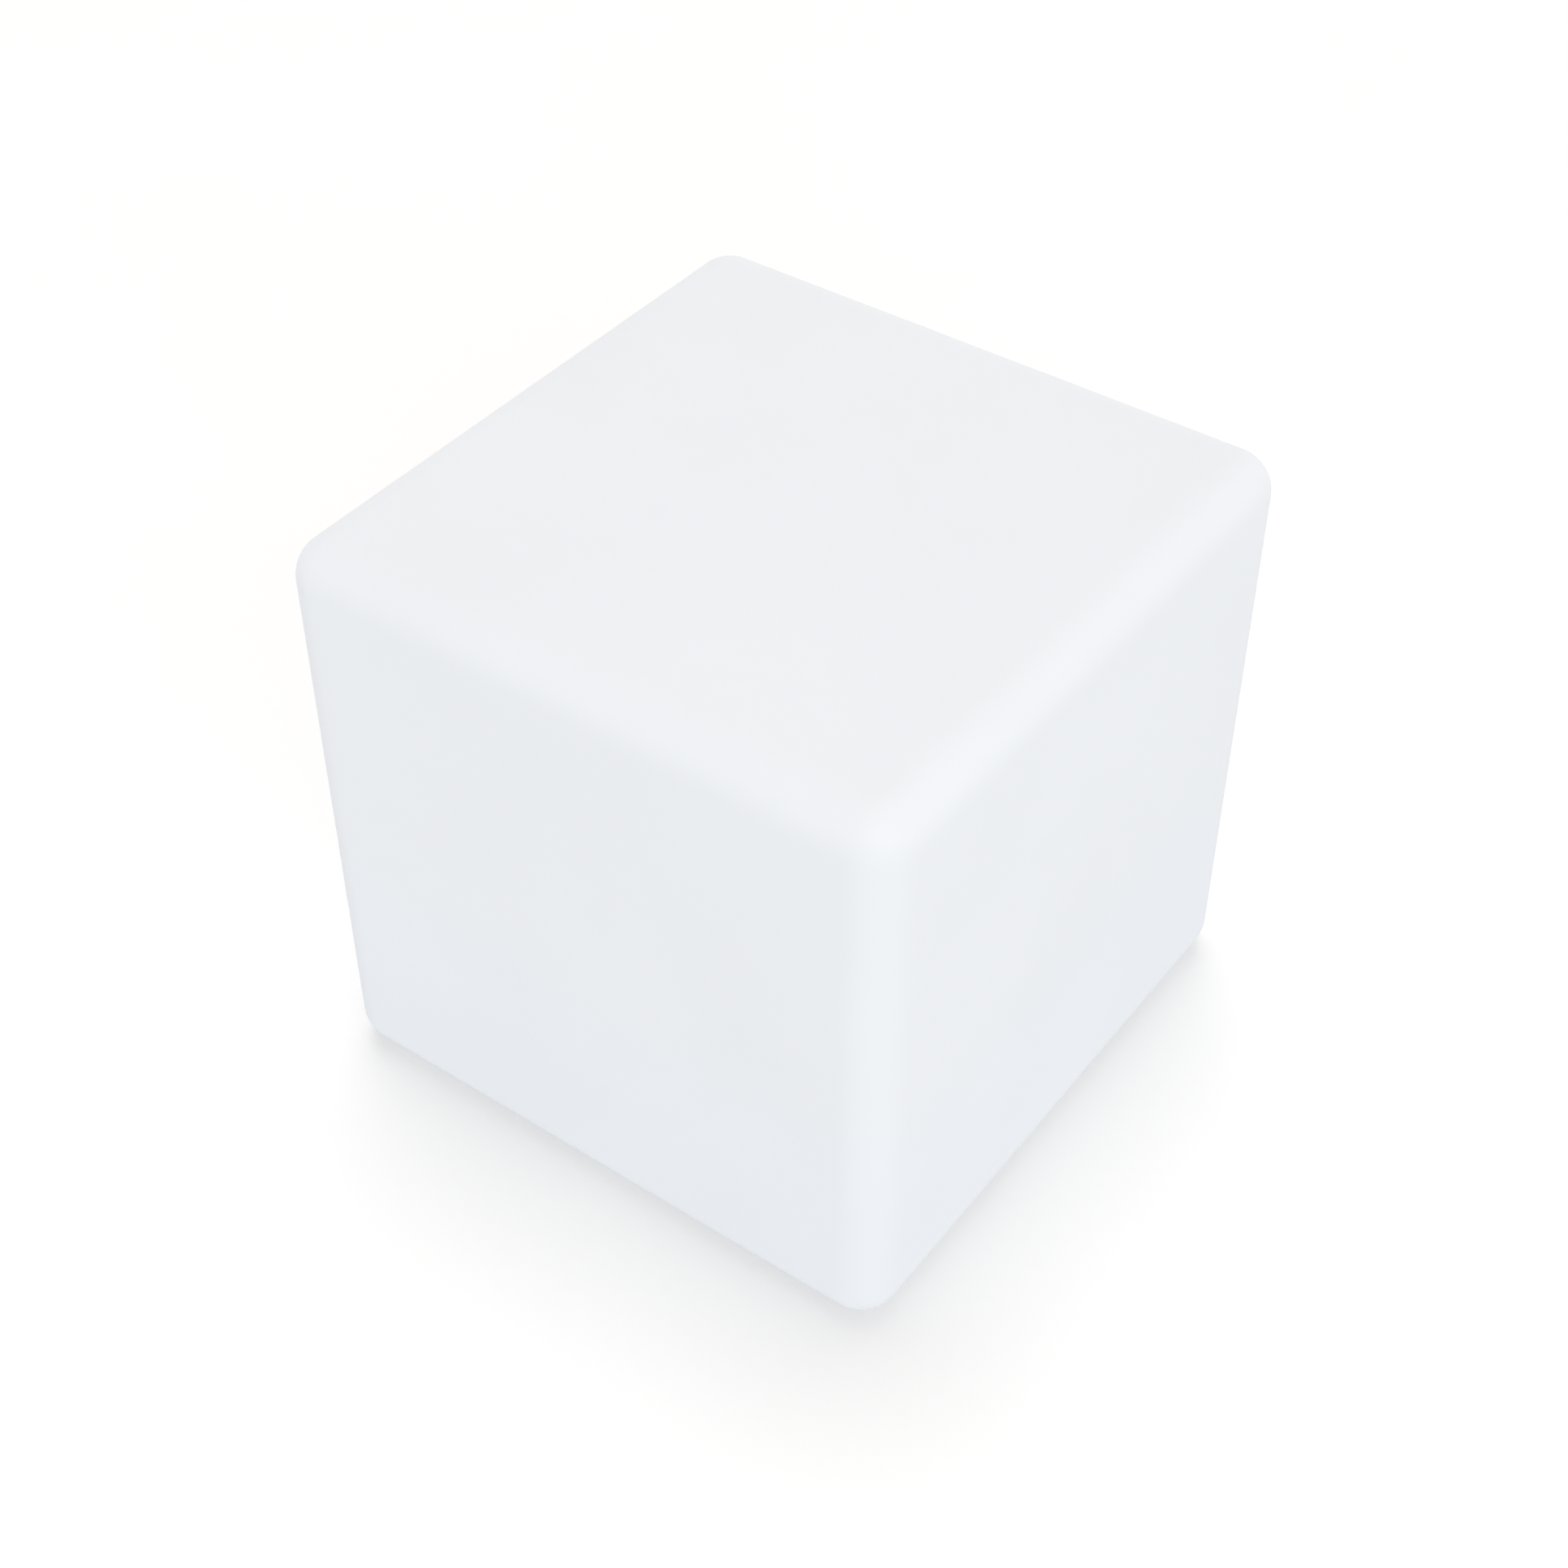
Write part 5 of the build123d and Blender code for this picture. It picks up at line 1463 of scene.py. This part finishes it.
row = [(0, CHIP_Y + (i - 3.5) * LEG_PITCH, BOARD_TOP) for i in range(8)]
legs = copies("controller_legs", tin, joined("pair", gull_leg(1), gull_leg(-1)), row)
feet = [slab("foot", 1.5, 0.6, 0.0, 0.05, 0.1, 0.02, at=(x, 0, 0)) for x in (-4.8, 4.8)]
feet = copies("controller_feet", tin, joined("feet", *feet), row)
seat(joined("controller_pins", legs, feet))

# %% [markdown]
# The two capacitors are aluminium cans in a sleeve, crimped near the foot, with a scored top
# that opens before the can would burst. The sleeve has a pale stripe on its negative side. The
# inductor is a ferrite bobbin wound with enamelled wire; the winding is a spiral curve given a
# round section, and the button's spring will be the same rule with other numbers.

# %% Sleeve of the capacitors
CAP_X, CAP_HALF, CAP_Y, CAN_TOP = 16.0, 5.0, -14.0, 10.2
CAP_SPOTS = [(CAP_X + way * CAP_HALF, CAP_Y, BOARD_TOP) for way in (-1, 1)]
sleeve = Finish("capacitor_sleeve", (0.04, 0.05, 0.09), 0.28)
x, y, z = sleeve.parts(sleeve.place)
across = sleeve.maths("ABSOLUTE", x - CAP_X) - CAP_HALF
stripe = sleeve.maths("GREATER_THAN", y - CAP_Y, sleeve.maths("ABSOLUTE", across) * 1.6 + 0.6)
stripe = stripe * sleeve.maths("LESS_THAN", z, BOARD_TOP + CAN_TOP)
cloud = sleeve.noise(3.0)
tone = sleeve.mix(cloud, sleeve.shade(-0.2), sleeve.shade(0.2))
sleeve.put("Base Color", sleeve.mix(stripe, tone, (0.55, 0.57, 0.6, 1.0)))
sleeve.put("Roughness", 0.24 + cloud * 0.1)
sleeve.grain(1.5, 0.01)

# %% Capacitors
can_line = [
    (0, 0.02), (4.0, 0.02, 0.5), (4.0, 1.3, 0.3), (3.62, 2.0, 0.4), (4.0, 2.7, 0.3),
    (4.0, 10.45, 0.4), (3.3, 10.45, 0.1), (3.3, CAN_TOP), (0, CAN_TOP),
]
lid_line = [(0, 9.8), (3.3, 9.8), (3.3, 10.3, 0.1), (0, 10.3)]
top = turned("top", lid_line, aluminium, segments=48)
scores = [
    slab("score", x, y, 10.2, 10.5, 0.05, 0.02, aluminium) for x, y in ((5.4, 0.12), (0.12, 5.4))
]
top = carved(top, "DIFFERENCE", *scores)
cans = copies("capacitor_sleeves", sleeve, turned("can", can_line, segments=48), CAP_SPOTS)
tops = copies("capacitor_tops", aluminium, top, CAP_SPOTS, turn=pi, seed=3)
seat(joined("capacitor_pair", cans, tops), replaces=["capacitors"])

# %% A coil as a rule
coil_rule = RuleTree(
    "coil_rule", Turns="Float", Radius="Float", Height="Float", Wire="Float", Closed="Float",
)
turns, radius, closed, thick = (coil_rule[k] for k in ("Turns", "Radius", "Closed", "Wire"))
spiral = {"Resolution": 40, "Rotations": turns, "Height": 1.0}
spiral |= {"Start Radius": radius, "End Radius": radius}
line = coil_rule.add("GeometryNodeCurveSpiral", None, spiral)
x, y, t = coil_rule.parts(coil_rule.add("GeometryNodeInputPosition"))
ends = closed / turns
first, last = (coil_rule.least(part / ends, 1.0) for part in (t, 1 - t))
middle = coil_rule.most(coil_rule.least((t - ends) / (1 - 2 * ends), 1.0), 0.0)
lap = thick * 2.05 * closed
height = lap * (first + 1 - last) + (coil_rule["Height"] - 2 * lap) * middle
line = coil_rule.moved(line, Position=coil_rule.vector(x, y, height))
circle = {"Resolution": 10, "Radius": thick}
section = coil_rule.add("GeometryNodeCurvePrimitiveCircle", {"mode": "RADIUS"}, circle)
sweep = {"Curve": line, "Profile Curve": section, "Fill Caps": True}
coil_rule.end(coil_rule.add("GeometryNodeCurveToMesh", None, sweep))


def coiled(name, finish, turns, radius, height, wire, closed, at):
    """A coil of round wire; closed is how many turns lie against each end."""
    piece = grow(
        name, coil_rule, finish, Turns=turns, Radius=radius * mm, Height=height * mm,
        Wire=wire * mm, Closed=closed,
    )
    return shifted(piece, at)


# %% Inductor
COIL_X, COIL_Y = -13.0, -12.0
ferrite = Finish("sintered_ferrite", (0.10, 0.10, 0.11), 0.6)
ferrite.drift(2.5, 0.15, rough=0.08).grain(0.25, 0.03, detail=4.0)
copper = metal("enamelled_copper", (0.62, 0.27, 0.12), 0.25)
spot = (COIL_X, COIL_Y, BOARD_TOP)
bobbin = slab("inductor_bobbin", 9.0, 9.0, 0.02, 5.0, 1.5, 0.25, ferrite, spot)
waist = turned("waist", [(3.6, 1.4), (7.0, 1.4), (7.0, 3.6), (3.6, 3.6)], ferrite, spot, 48)
bobbin = carved(bobbin, "DIFFERENCE", waist)
spot = (COIL_X, COIL_Y, BOARD_TOP + 1.55)
winding = coiled("winding", copper, 4.0, 3.95, 1.9, 0.23, 0.5, spot)
seat(joined("power_inductor_wound", bobbin, winding), replaces=["power_inductor"])

# %% [markdown]
# ## Connectors and leads
#
# Small nylon plugs join the battery, the socket and the switch to the board. Each lead is a pair
# of wires in soft PVC. Wire bends in long even curves, never in corners, so each is a NURBS
# curve through its few route points with a round section.

# %% Nylon plugs
nylon = plastic("natural_nylon", (0.75, 0.73, 0.66), 0.45, grain=0.6, depth=0.01, share=0.03)
CHARGE_X, CHARGE_Y, CHARGE_WAYS = -45, 10.4, (8.4, 12.4)


def lying_plug(place, turn):
    """A two-way plug on its side; the wires enter its mouth at x = 0."""
    shell_box = slab("plug", 7.0, 8.0, 0.02, 6.0, 0.5, 0.3, nylon, (-3.5, 0, 0))
    key = slab("key", 3.5, 2.6, 5.5, 6.48, 0.3, 0.2, nylon, (-3.5, 0, 0))
    ways = [slab("way", 6.0, 2.2, 2.3, 4.5, 0.2, 0.05, nylon, (0, y, 0)) for y in (-2, 2)]
    slots = [slab("slot", 2.4, 0.9, 4.8, 7.0, 0.1, 0.05, nylon, (-2.0, y, 0)) for y in (-3.0, 3.0)]
    plug = carved(carved(shell_box, "UNION", key), "DIFFERENCE", *ways, *slots)
    return shifted(plug, place, turn)


def standing_plug():
    """The plug on the socket's board, its wires entering from above."""
    plug = slab("plug", 6.0, 8.0, 28.12, 32.68, 0.6, 0.3, nylon, (CHARGE_X, CHARGE_Y, 0))
    line = [(0, 30), (0.95, 30), (0.95, 33), (0, 33)]
    ways = [turned("way", line, nylon, (CHARGE_X, y, 0), 24) for y in CHARGE_WAYS]
    return carved(plug, "DIFFERENCE", *ways)


entries = [
    ((0, 30, BOARD_TOP), 90), ((-32, CHARGE_Y, BOARD_TOP), 180), ((32, 0, BOARD_TOP), 0),
]
plugs = joined("nylon_plugs", standing_plug(), *[lying_plug(*e) for e in entries])
seat(plugs, replaces=["board_connectors"])

# %% Pin header
PIN_PITCH, PIN_Y = 2.54, -22
low, middle = BOARD_TOP + 0.02, (0, PIN_Y, 0)
strip = slab("header_strip", 13.0, 2.6, low, 55.88, 0.3, 0.15, jack_black, middle)
nicks = [((i - 1.5) * PIN_PITCH, PIN_Y + s * 3.1, 0) for i in range(4) for s in (-1, 1)]
nicks = [slab("groove", 0.5, 4.0, 40, 56.5, 0.1, 0.02, jack_black, spot) for spot in nicks]
strip = carved(strip, "DIFFERENCE", joined("grooves", *nicks))
tips = [(37.1, 0.2), (37.5, 0.62), (58.1, 0.62), (58.5, 0.2)]
pin = stacked("pin", [(z, outline(s, s, 0.04, 1)) for z, s in tips])
pins = copies("header_pins", tin, pin, [((i - 2) * PIN_PITCH, PIN_Y, 0) for i in range(5)])
seat(joined("light_board_header", strip, pins), replaces=["led_header"])

# %% Wires in soft PVC
def pvc(name, colour):
    """Soft PVC round a wire."""
    return Finish(name, colour, 0.38).drift(6.0, 0.06, rough=0.05).grain(0.8, 0.008)


red, black = pvc("red_pvc", (0.5, 0.03, 0.03)), pvc("black_pvc", (0.02, 0.02, 0.02))
grey = pvc("grey_pvc", (0.3, 0.31, 0.32))
WIRE_R = 0.7


def wire(route, finish):
    """A round wire along a smooth curve through its route, in millimetres."""
    curve = bpy.data.curves.new("wire", "CURVE")
    curve.dimensions = "3D"
    curve.bevel_depth, curve.bevel_resolution = WIRE_R * mm, 3
    curve.use_fill_caps, curve.resolution_u = True, 16
    line = curve.splines.new("NURBS")
    line.points.add(len(route) - 1)
    for point, place in zip(line.points, route):
        point.co = (*[c * mm for c in place], 1.0)
    line.order_u, line.use_endpoint_u = 3, True
    soft = placed("wire", curve)
    mesh = plain_mesh(soft)
    dropped(soft)
    mesh.materials.clear()
    mesh.materials.append(finish.material)
    return smoothed(placed("wire", mesh), 50)


# %% Leads
WIRE_Z = BOARD_TOP + 3.4


def battery_route(x):
    """From a strip on the cells up and back to the plug at the board's edge."""
    low = [(x, 33.3, CELL_Z), (x, 43.8, CELL_Z + 7)]
    return low + [(x, 43.8, WIRE_Z), (x, 30, WIRE_Z), (x, 27.6, WIRE_Z)]


def charge_route(y):
    """From the plug over the socket to the one beside it on the control board."""
    low = [(CHARGE_X, y, 30.6), (CHARGE_X, y, 32.7)]
    return low + [(CHARGE_X, y, WIRE_Z), (-32, y, WIRE_Z), (-29.6, y, WIRE_Z)]


def switch_route(y):
    """From a post of the switch to the plug on its side of the board."""
    return [(SWITCH_X, y, 32), (SWITCH_X, y, WIRE_Z), (32, y, WIRE_Z), (29.6, y, WIRE_Z)]


battery = [wire(battery_route(x), finish) for x, finish in ((-2, black), (2, red))]
charge = [wire(charge_route(y), finish) for y, finish in zip(CHARGE_WAYS, (red, black))]
switch = [wire(switch_route(y), grey) for y in (-2, 2)]
for name, node, pair in (
    ("battery_wires", "battery_lead", battery),
    ("charge_wires", "charge_lead", charge),
    ("switch_wires", "switch_lead", switch),
):
    lead = seat(joined(name, *pair), replaces=[node])
    print(name, [round(v / mm, 1) for v in lead.dimensions], "mm")


# %% Terminals
terminal_line = [(0, 21.72), (0.5, 21.72), (0.7, 21.95), (0.7, 31.6), (0.5, 31.98), (0, 31.98)]
terminal = turned("post", terminal_line, segments=20)
posts = copies("switch_posts", brass, terminal, [(SWITCH_X, y, 0) for y in (-2, 2)])
seat(posts, replaces=["switch_terminals"])
dressed("jack_terminals", brass, "socket_blades")

# %% Solder
JOINT_PITCH, JOINT_Z = 4.2, 28.12
fillet_line = [(0, 0), (1.5, 0), *arc((1.5, 1.0), 1.0, -90, -160, 4), (0, 0.75)]
fillet = turned("fillet", fillet_line, segments=24)
spots = [(PORT_X, i * JOINT_PITCH, JOINT_Z) for i in (-1, 0, 1)]
joints = copies("socket_solder", tin, fillet, spots)
blob = turned("blob", [(0, 0), (1.5, 0), (1.35, 0.35), (0.9, 0.7), (0, 0.85)], segments=24)
ends = copies("tab_solder", tin, blob, [(x, TAB_Y, CELL_Z) for x in (-2, 2)], over=-pi / 2)
seat(joined("solder_joints", joints, ends))

# %% [markdown]
# ## The button's spring
#
# The spring has closed ends, so it stands square, and it shortens as the button goes in. It is
# fixed to the case.

# %% Spring
SPRING_LOW, SPRING_HIGH, SPRING_WIRE, TRAVEL = 13.5, 24.9, 0.28, 1.5
free = SPRING_HIGH - SPRING_LOW - 2 * SPRING_WIRE
low_end = (SWITCH_X, 0, SPRING_LOW + SPRING_WIRE)
spring = coiled("button_coil_spring", spring_steel, 7.0, 4.1, free, SPRING_WIRE, 0.9, low_end)
seat(spring, replaces=["button_spring"], even=False)
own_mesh(spring)

# %% [markdown]
# ## The light head
#
# An aluminium plate closes the cup and carries heat from the light board. The board holds an
# outer ring of twelve colour packages and an inner ring of eight white ones. A colour package
# is a white frame round a clear window with three small dies on its floor; a white one has a
# yellow window, because phosphor turns its blue die white.

# %% Spreader and board screws
LIGHT_Z = 57.6
dressed("heat_spreader", aluminium, "spreader_plate")
spots = around(3, 38.5, 30, LIGHT_Z)
screws(
    "light_board_screw_set", zinc, "zinc_steel", "led_board_screws", spots, 1.25, 3.1, seed=8,
    **thread_forming,
)

# %% Plastics of the lights
package_white = plastic("package_white", (0.82, 0.82, 0.80), 0.3, 0.3, 0.004, 0.02)
see_through = {"Transmission Weight": 0.8}
window_clear = Finish("window_epoxy", (0.90, 0.90, 0.88), 0.1, constants=see_through)
window_clear.drift(1.0, 0.02)
phosphor = Finish("phosphor_window", (0.85, 0.68, 0.12), 0.45)
phosphor.drift(0.6, 0.06, rough=0.05).grain(0.1, 0.01)

# %% Shapes of a light package
def package(size, tall, window):
    """A square frame with a sunk round window and one cut corner."""
    frame_box = slab("package", size, size, 0.05, tall, 0.15, 0.08)
    floor_z, rim_z, over = tall - 0.3, tall + 0.01, tall + 0.5
    line = [(0, floor_z), (window * 0.9, floor_z), (window, rim_z), (window, over), (0, over)]
    well = turned("well", line, segments=32)
    cut, at = size * 0.3, (size / 2, size / 2, 0)
    corner = slab("corner", cut, cut, tall * 0.55, tall + 1, 0.05, 0.02, at=at)
    return carved(frame_box, "DIFFERENCE", well, corner)


def pads(size, wide, tall):
    """Solder along two sides of a package."""
    spots = [(sx * size / 2, sy * size * 0.28, 0) for sx in (-1, 1) for sy in (-1, 1)]
    made = [slab("pad", wide, size * 0.2, 0.0, tall, 0.1, 0.05, at=spot) for spot in spots]
    return joined("pads", *made)


def filling(low, narrow, wide, rim, crown):
    """The filling of a window, a little domed."""
    return turned("window", [(0, low), (narrow, low), (wide, rim), (0, crown)], segments=32)


# %% Light packages
COLOUR_RING, WHITE_RING = (12, 30), (8, 16)


def lit_ring(name, finish, copy, ring, replaces=()):
    """Seats copies of a shape on the light board, on one of its rings."""
    piece = shifted(ringed(name, finish, copy, *ring), (0, 0, LIGHT_Z))
    return seat(piece, replaces=replaces)


for name, node, ring, sizes in (
    ("colour_packages", "colour_leds", COLOUR_RING, (5.0, 1.5, 2.0)),
    ("white_packages", "white_leds", WHITE_RING, (3.2, 1.1, 1.2)),
):
    lit_ring(name, package_white, package(*sizes), ring, [node])
lit_ring("colour_pads", tin, pads(5.0, 1.3, 0.35), COLOUR_RING)
lit_ring("white_pads", tin, pads(3.2, 0.9, 0.3), WHITE_RING)
window = filling(0.79, 1.05, 1.15, 1.02, 1.12)
lit_ring("white_windows", phosphor, window, WHITE_RING)
window = filling(1.22, 1.75, 1.95, 1.42, 1.46)
lit_ring("colour_windows", window_clear, window, COLOUR_RING)

# %% Dies
DIES = {"red": (0.35, 0.05, 0.04), "green": (0.06, 0.25, 0.08), "blue": (0.05, 0.08, 0.35)}
for i, (name, tint) in enumerate(DIES.items()):
    die_finish = Finish(name + "_die", tint, 0.25).drift(0.3, 0.15).grain(0.05, 0.004)
    die = slab("die", 0.36, 0.36, 1.2, 1.3, 0.03, 0.02, at=((i - 1) * 0.75, 0.0, 0))
    lit_ring(name + "_dies", die_finish, die, COLOUR_RING)


# %% Receiver and charge diode
LENS_R, LENS_Z = 2.2, 62.6
ir_epoxy = Finish("infrared_epoxy", (0.03, 0.022, 0.03), 0.15).drift(2.0, 0.2).grain(0.6, 0.004)
receiver = slab("remote_receiver", 6.0, 5.0, LIGHT_Z + 0.02, LENS_Z, 0.5, 0.2, ir_epoxy)
ball = arc((0, LENS_Z), LENS_R, 0, 90, 10)[:-1]
lens_line = [(0, 61.0), (LENS_R, 61.0), *ball, (0, LENS_Z + LENS_R)]
receiver = carved(receiver, "UNION", turned("lens", lens_line, ir_epoxy))
seat(receiver, replaces=["ir_receiver"])
on_pipe = (PORT_X, PIPE_Y, 0)
diode = slab("charge_diode", 2.0, 1.3, 26.0, 26.49, 0.1, 0.05, package_white, on_pipe)
bead_line = [(0, 25.72), (0.35, 25.78), (0.5, 26.1), (0, 26.1)]
bead = turned("bead", bead_line, phosphor, on_pipe, 24)
seat(joined("charge_diode_package", diode, bead), replaces=["charge_led"])

# %% [markdown]
# ## The dome
#
# A frosted dome spreads the points of light before they reach the shell. It is a spherical cap
# of even thickness on a flange, with a groove for a rubber ring. Frosting is fine and even,
# so it is roughness in the material and not shape.

# %% Dome
see_through = {"Transmission Weight": 0.45, "IOR": 1.58}
frosted = Finish("frosted_polycarbonate", (0.88, 0.89, 0.90), 0.55, constants=see_through)
frosted.drift(25.0, 0.01, rough=0.04).grain(0.25, 0.01)
DOME_R, DOME_RISE, DOME_TOP, DOME_WALL = 52.0, 28.0, 87.0, 2.0
CAP_R = (DOME_R**2 + DOME_RISE**2) / (2 * DOME_RISE)
CAP_Z = DOME_TOP - CAP_R


def cap_section(radius, low_z):
    """Half of a spherical cap's section, from its rim up to the axis."""
    start = atan((low_z - CAP_Z) / sqrt(radius**2 - (low_z - CAP_Z) ** 2)) * 180 / pi
    return arc((0, CAP_Z), radius, start, 90, 28)[:-1] + [(0, CAP_Z + radius)]


outer, inner = cap_section(CAP_R, 59.3), cap_section(CAP_R - DOME_WALL, 57.0)
rim = [
    (49.9, 56.0, 0.2), (51.9, 56.0), (51.9, 57.65), (54.1, 57.65), (54.1, 56.0),
    (63.98, 56.0, 0.3), (63.98, 59.0, 0.5), (52.3, 59.0, 0.3),
]
dome = turned("frosted_dome", [*inner[::-1], *rim, *outer], frosted, segments=128)
hole_line = [(0, 55), (1.75, 55), (1.75, 60), (0, 60)]
through = [
    turned("hole", hole_line, frosted, (x, y, 0), 24)
    for x, y, _ in around(DOME_SCREWS, DOME_CIRCLE, 30)
]
dome = carved(dome, "DIFFERENCE", joined("holes", *through))
seat(dome, replaces=["light_dome"])

# %% Seal and screws of the dome
ring = turned("dome_ring_seal", arc((53.0, 56.83), 0.79, 0, 360, 16)[:-1], foam, segments=128)
seat(ring, replaces=["dome_seal"])
spots = around(DOME_SCREWS, DOME_CIRCLE, 30, 59.0)
screws(
    "dome_screw_set", zinc, "zinc_steel", "dome_screws", spots, 1.5, 13.9, (2.85, 2.05), up=False,
    pitch=0.8, seed=9,
)
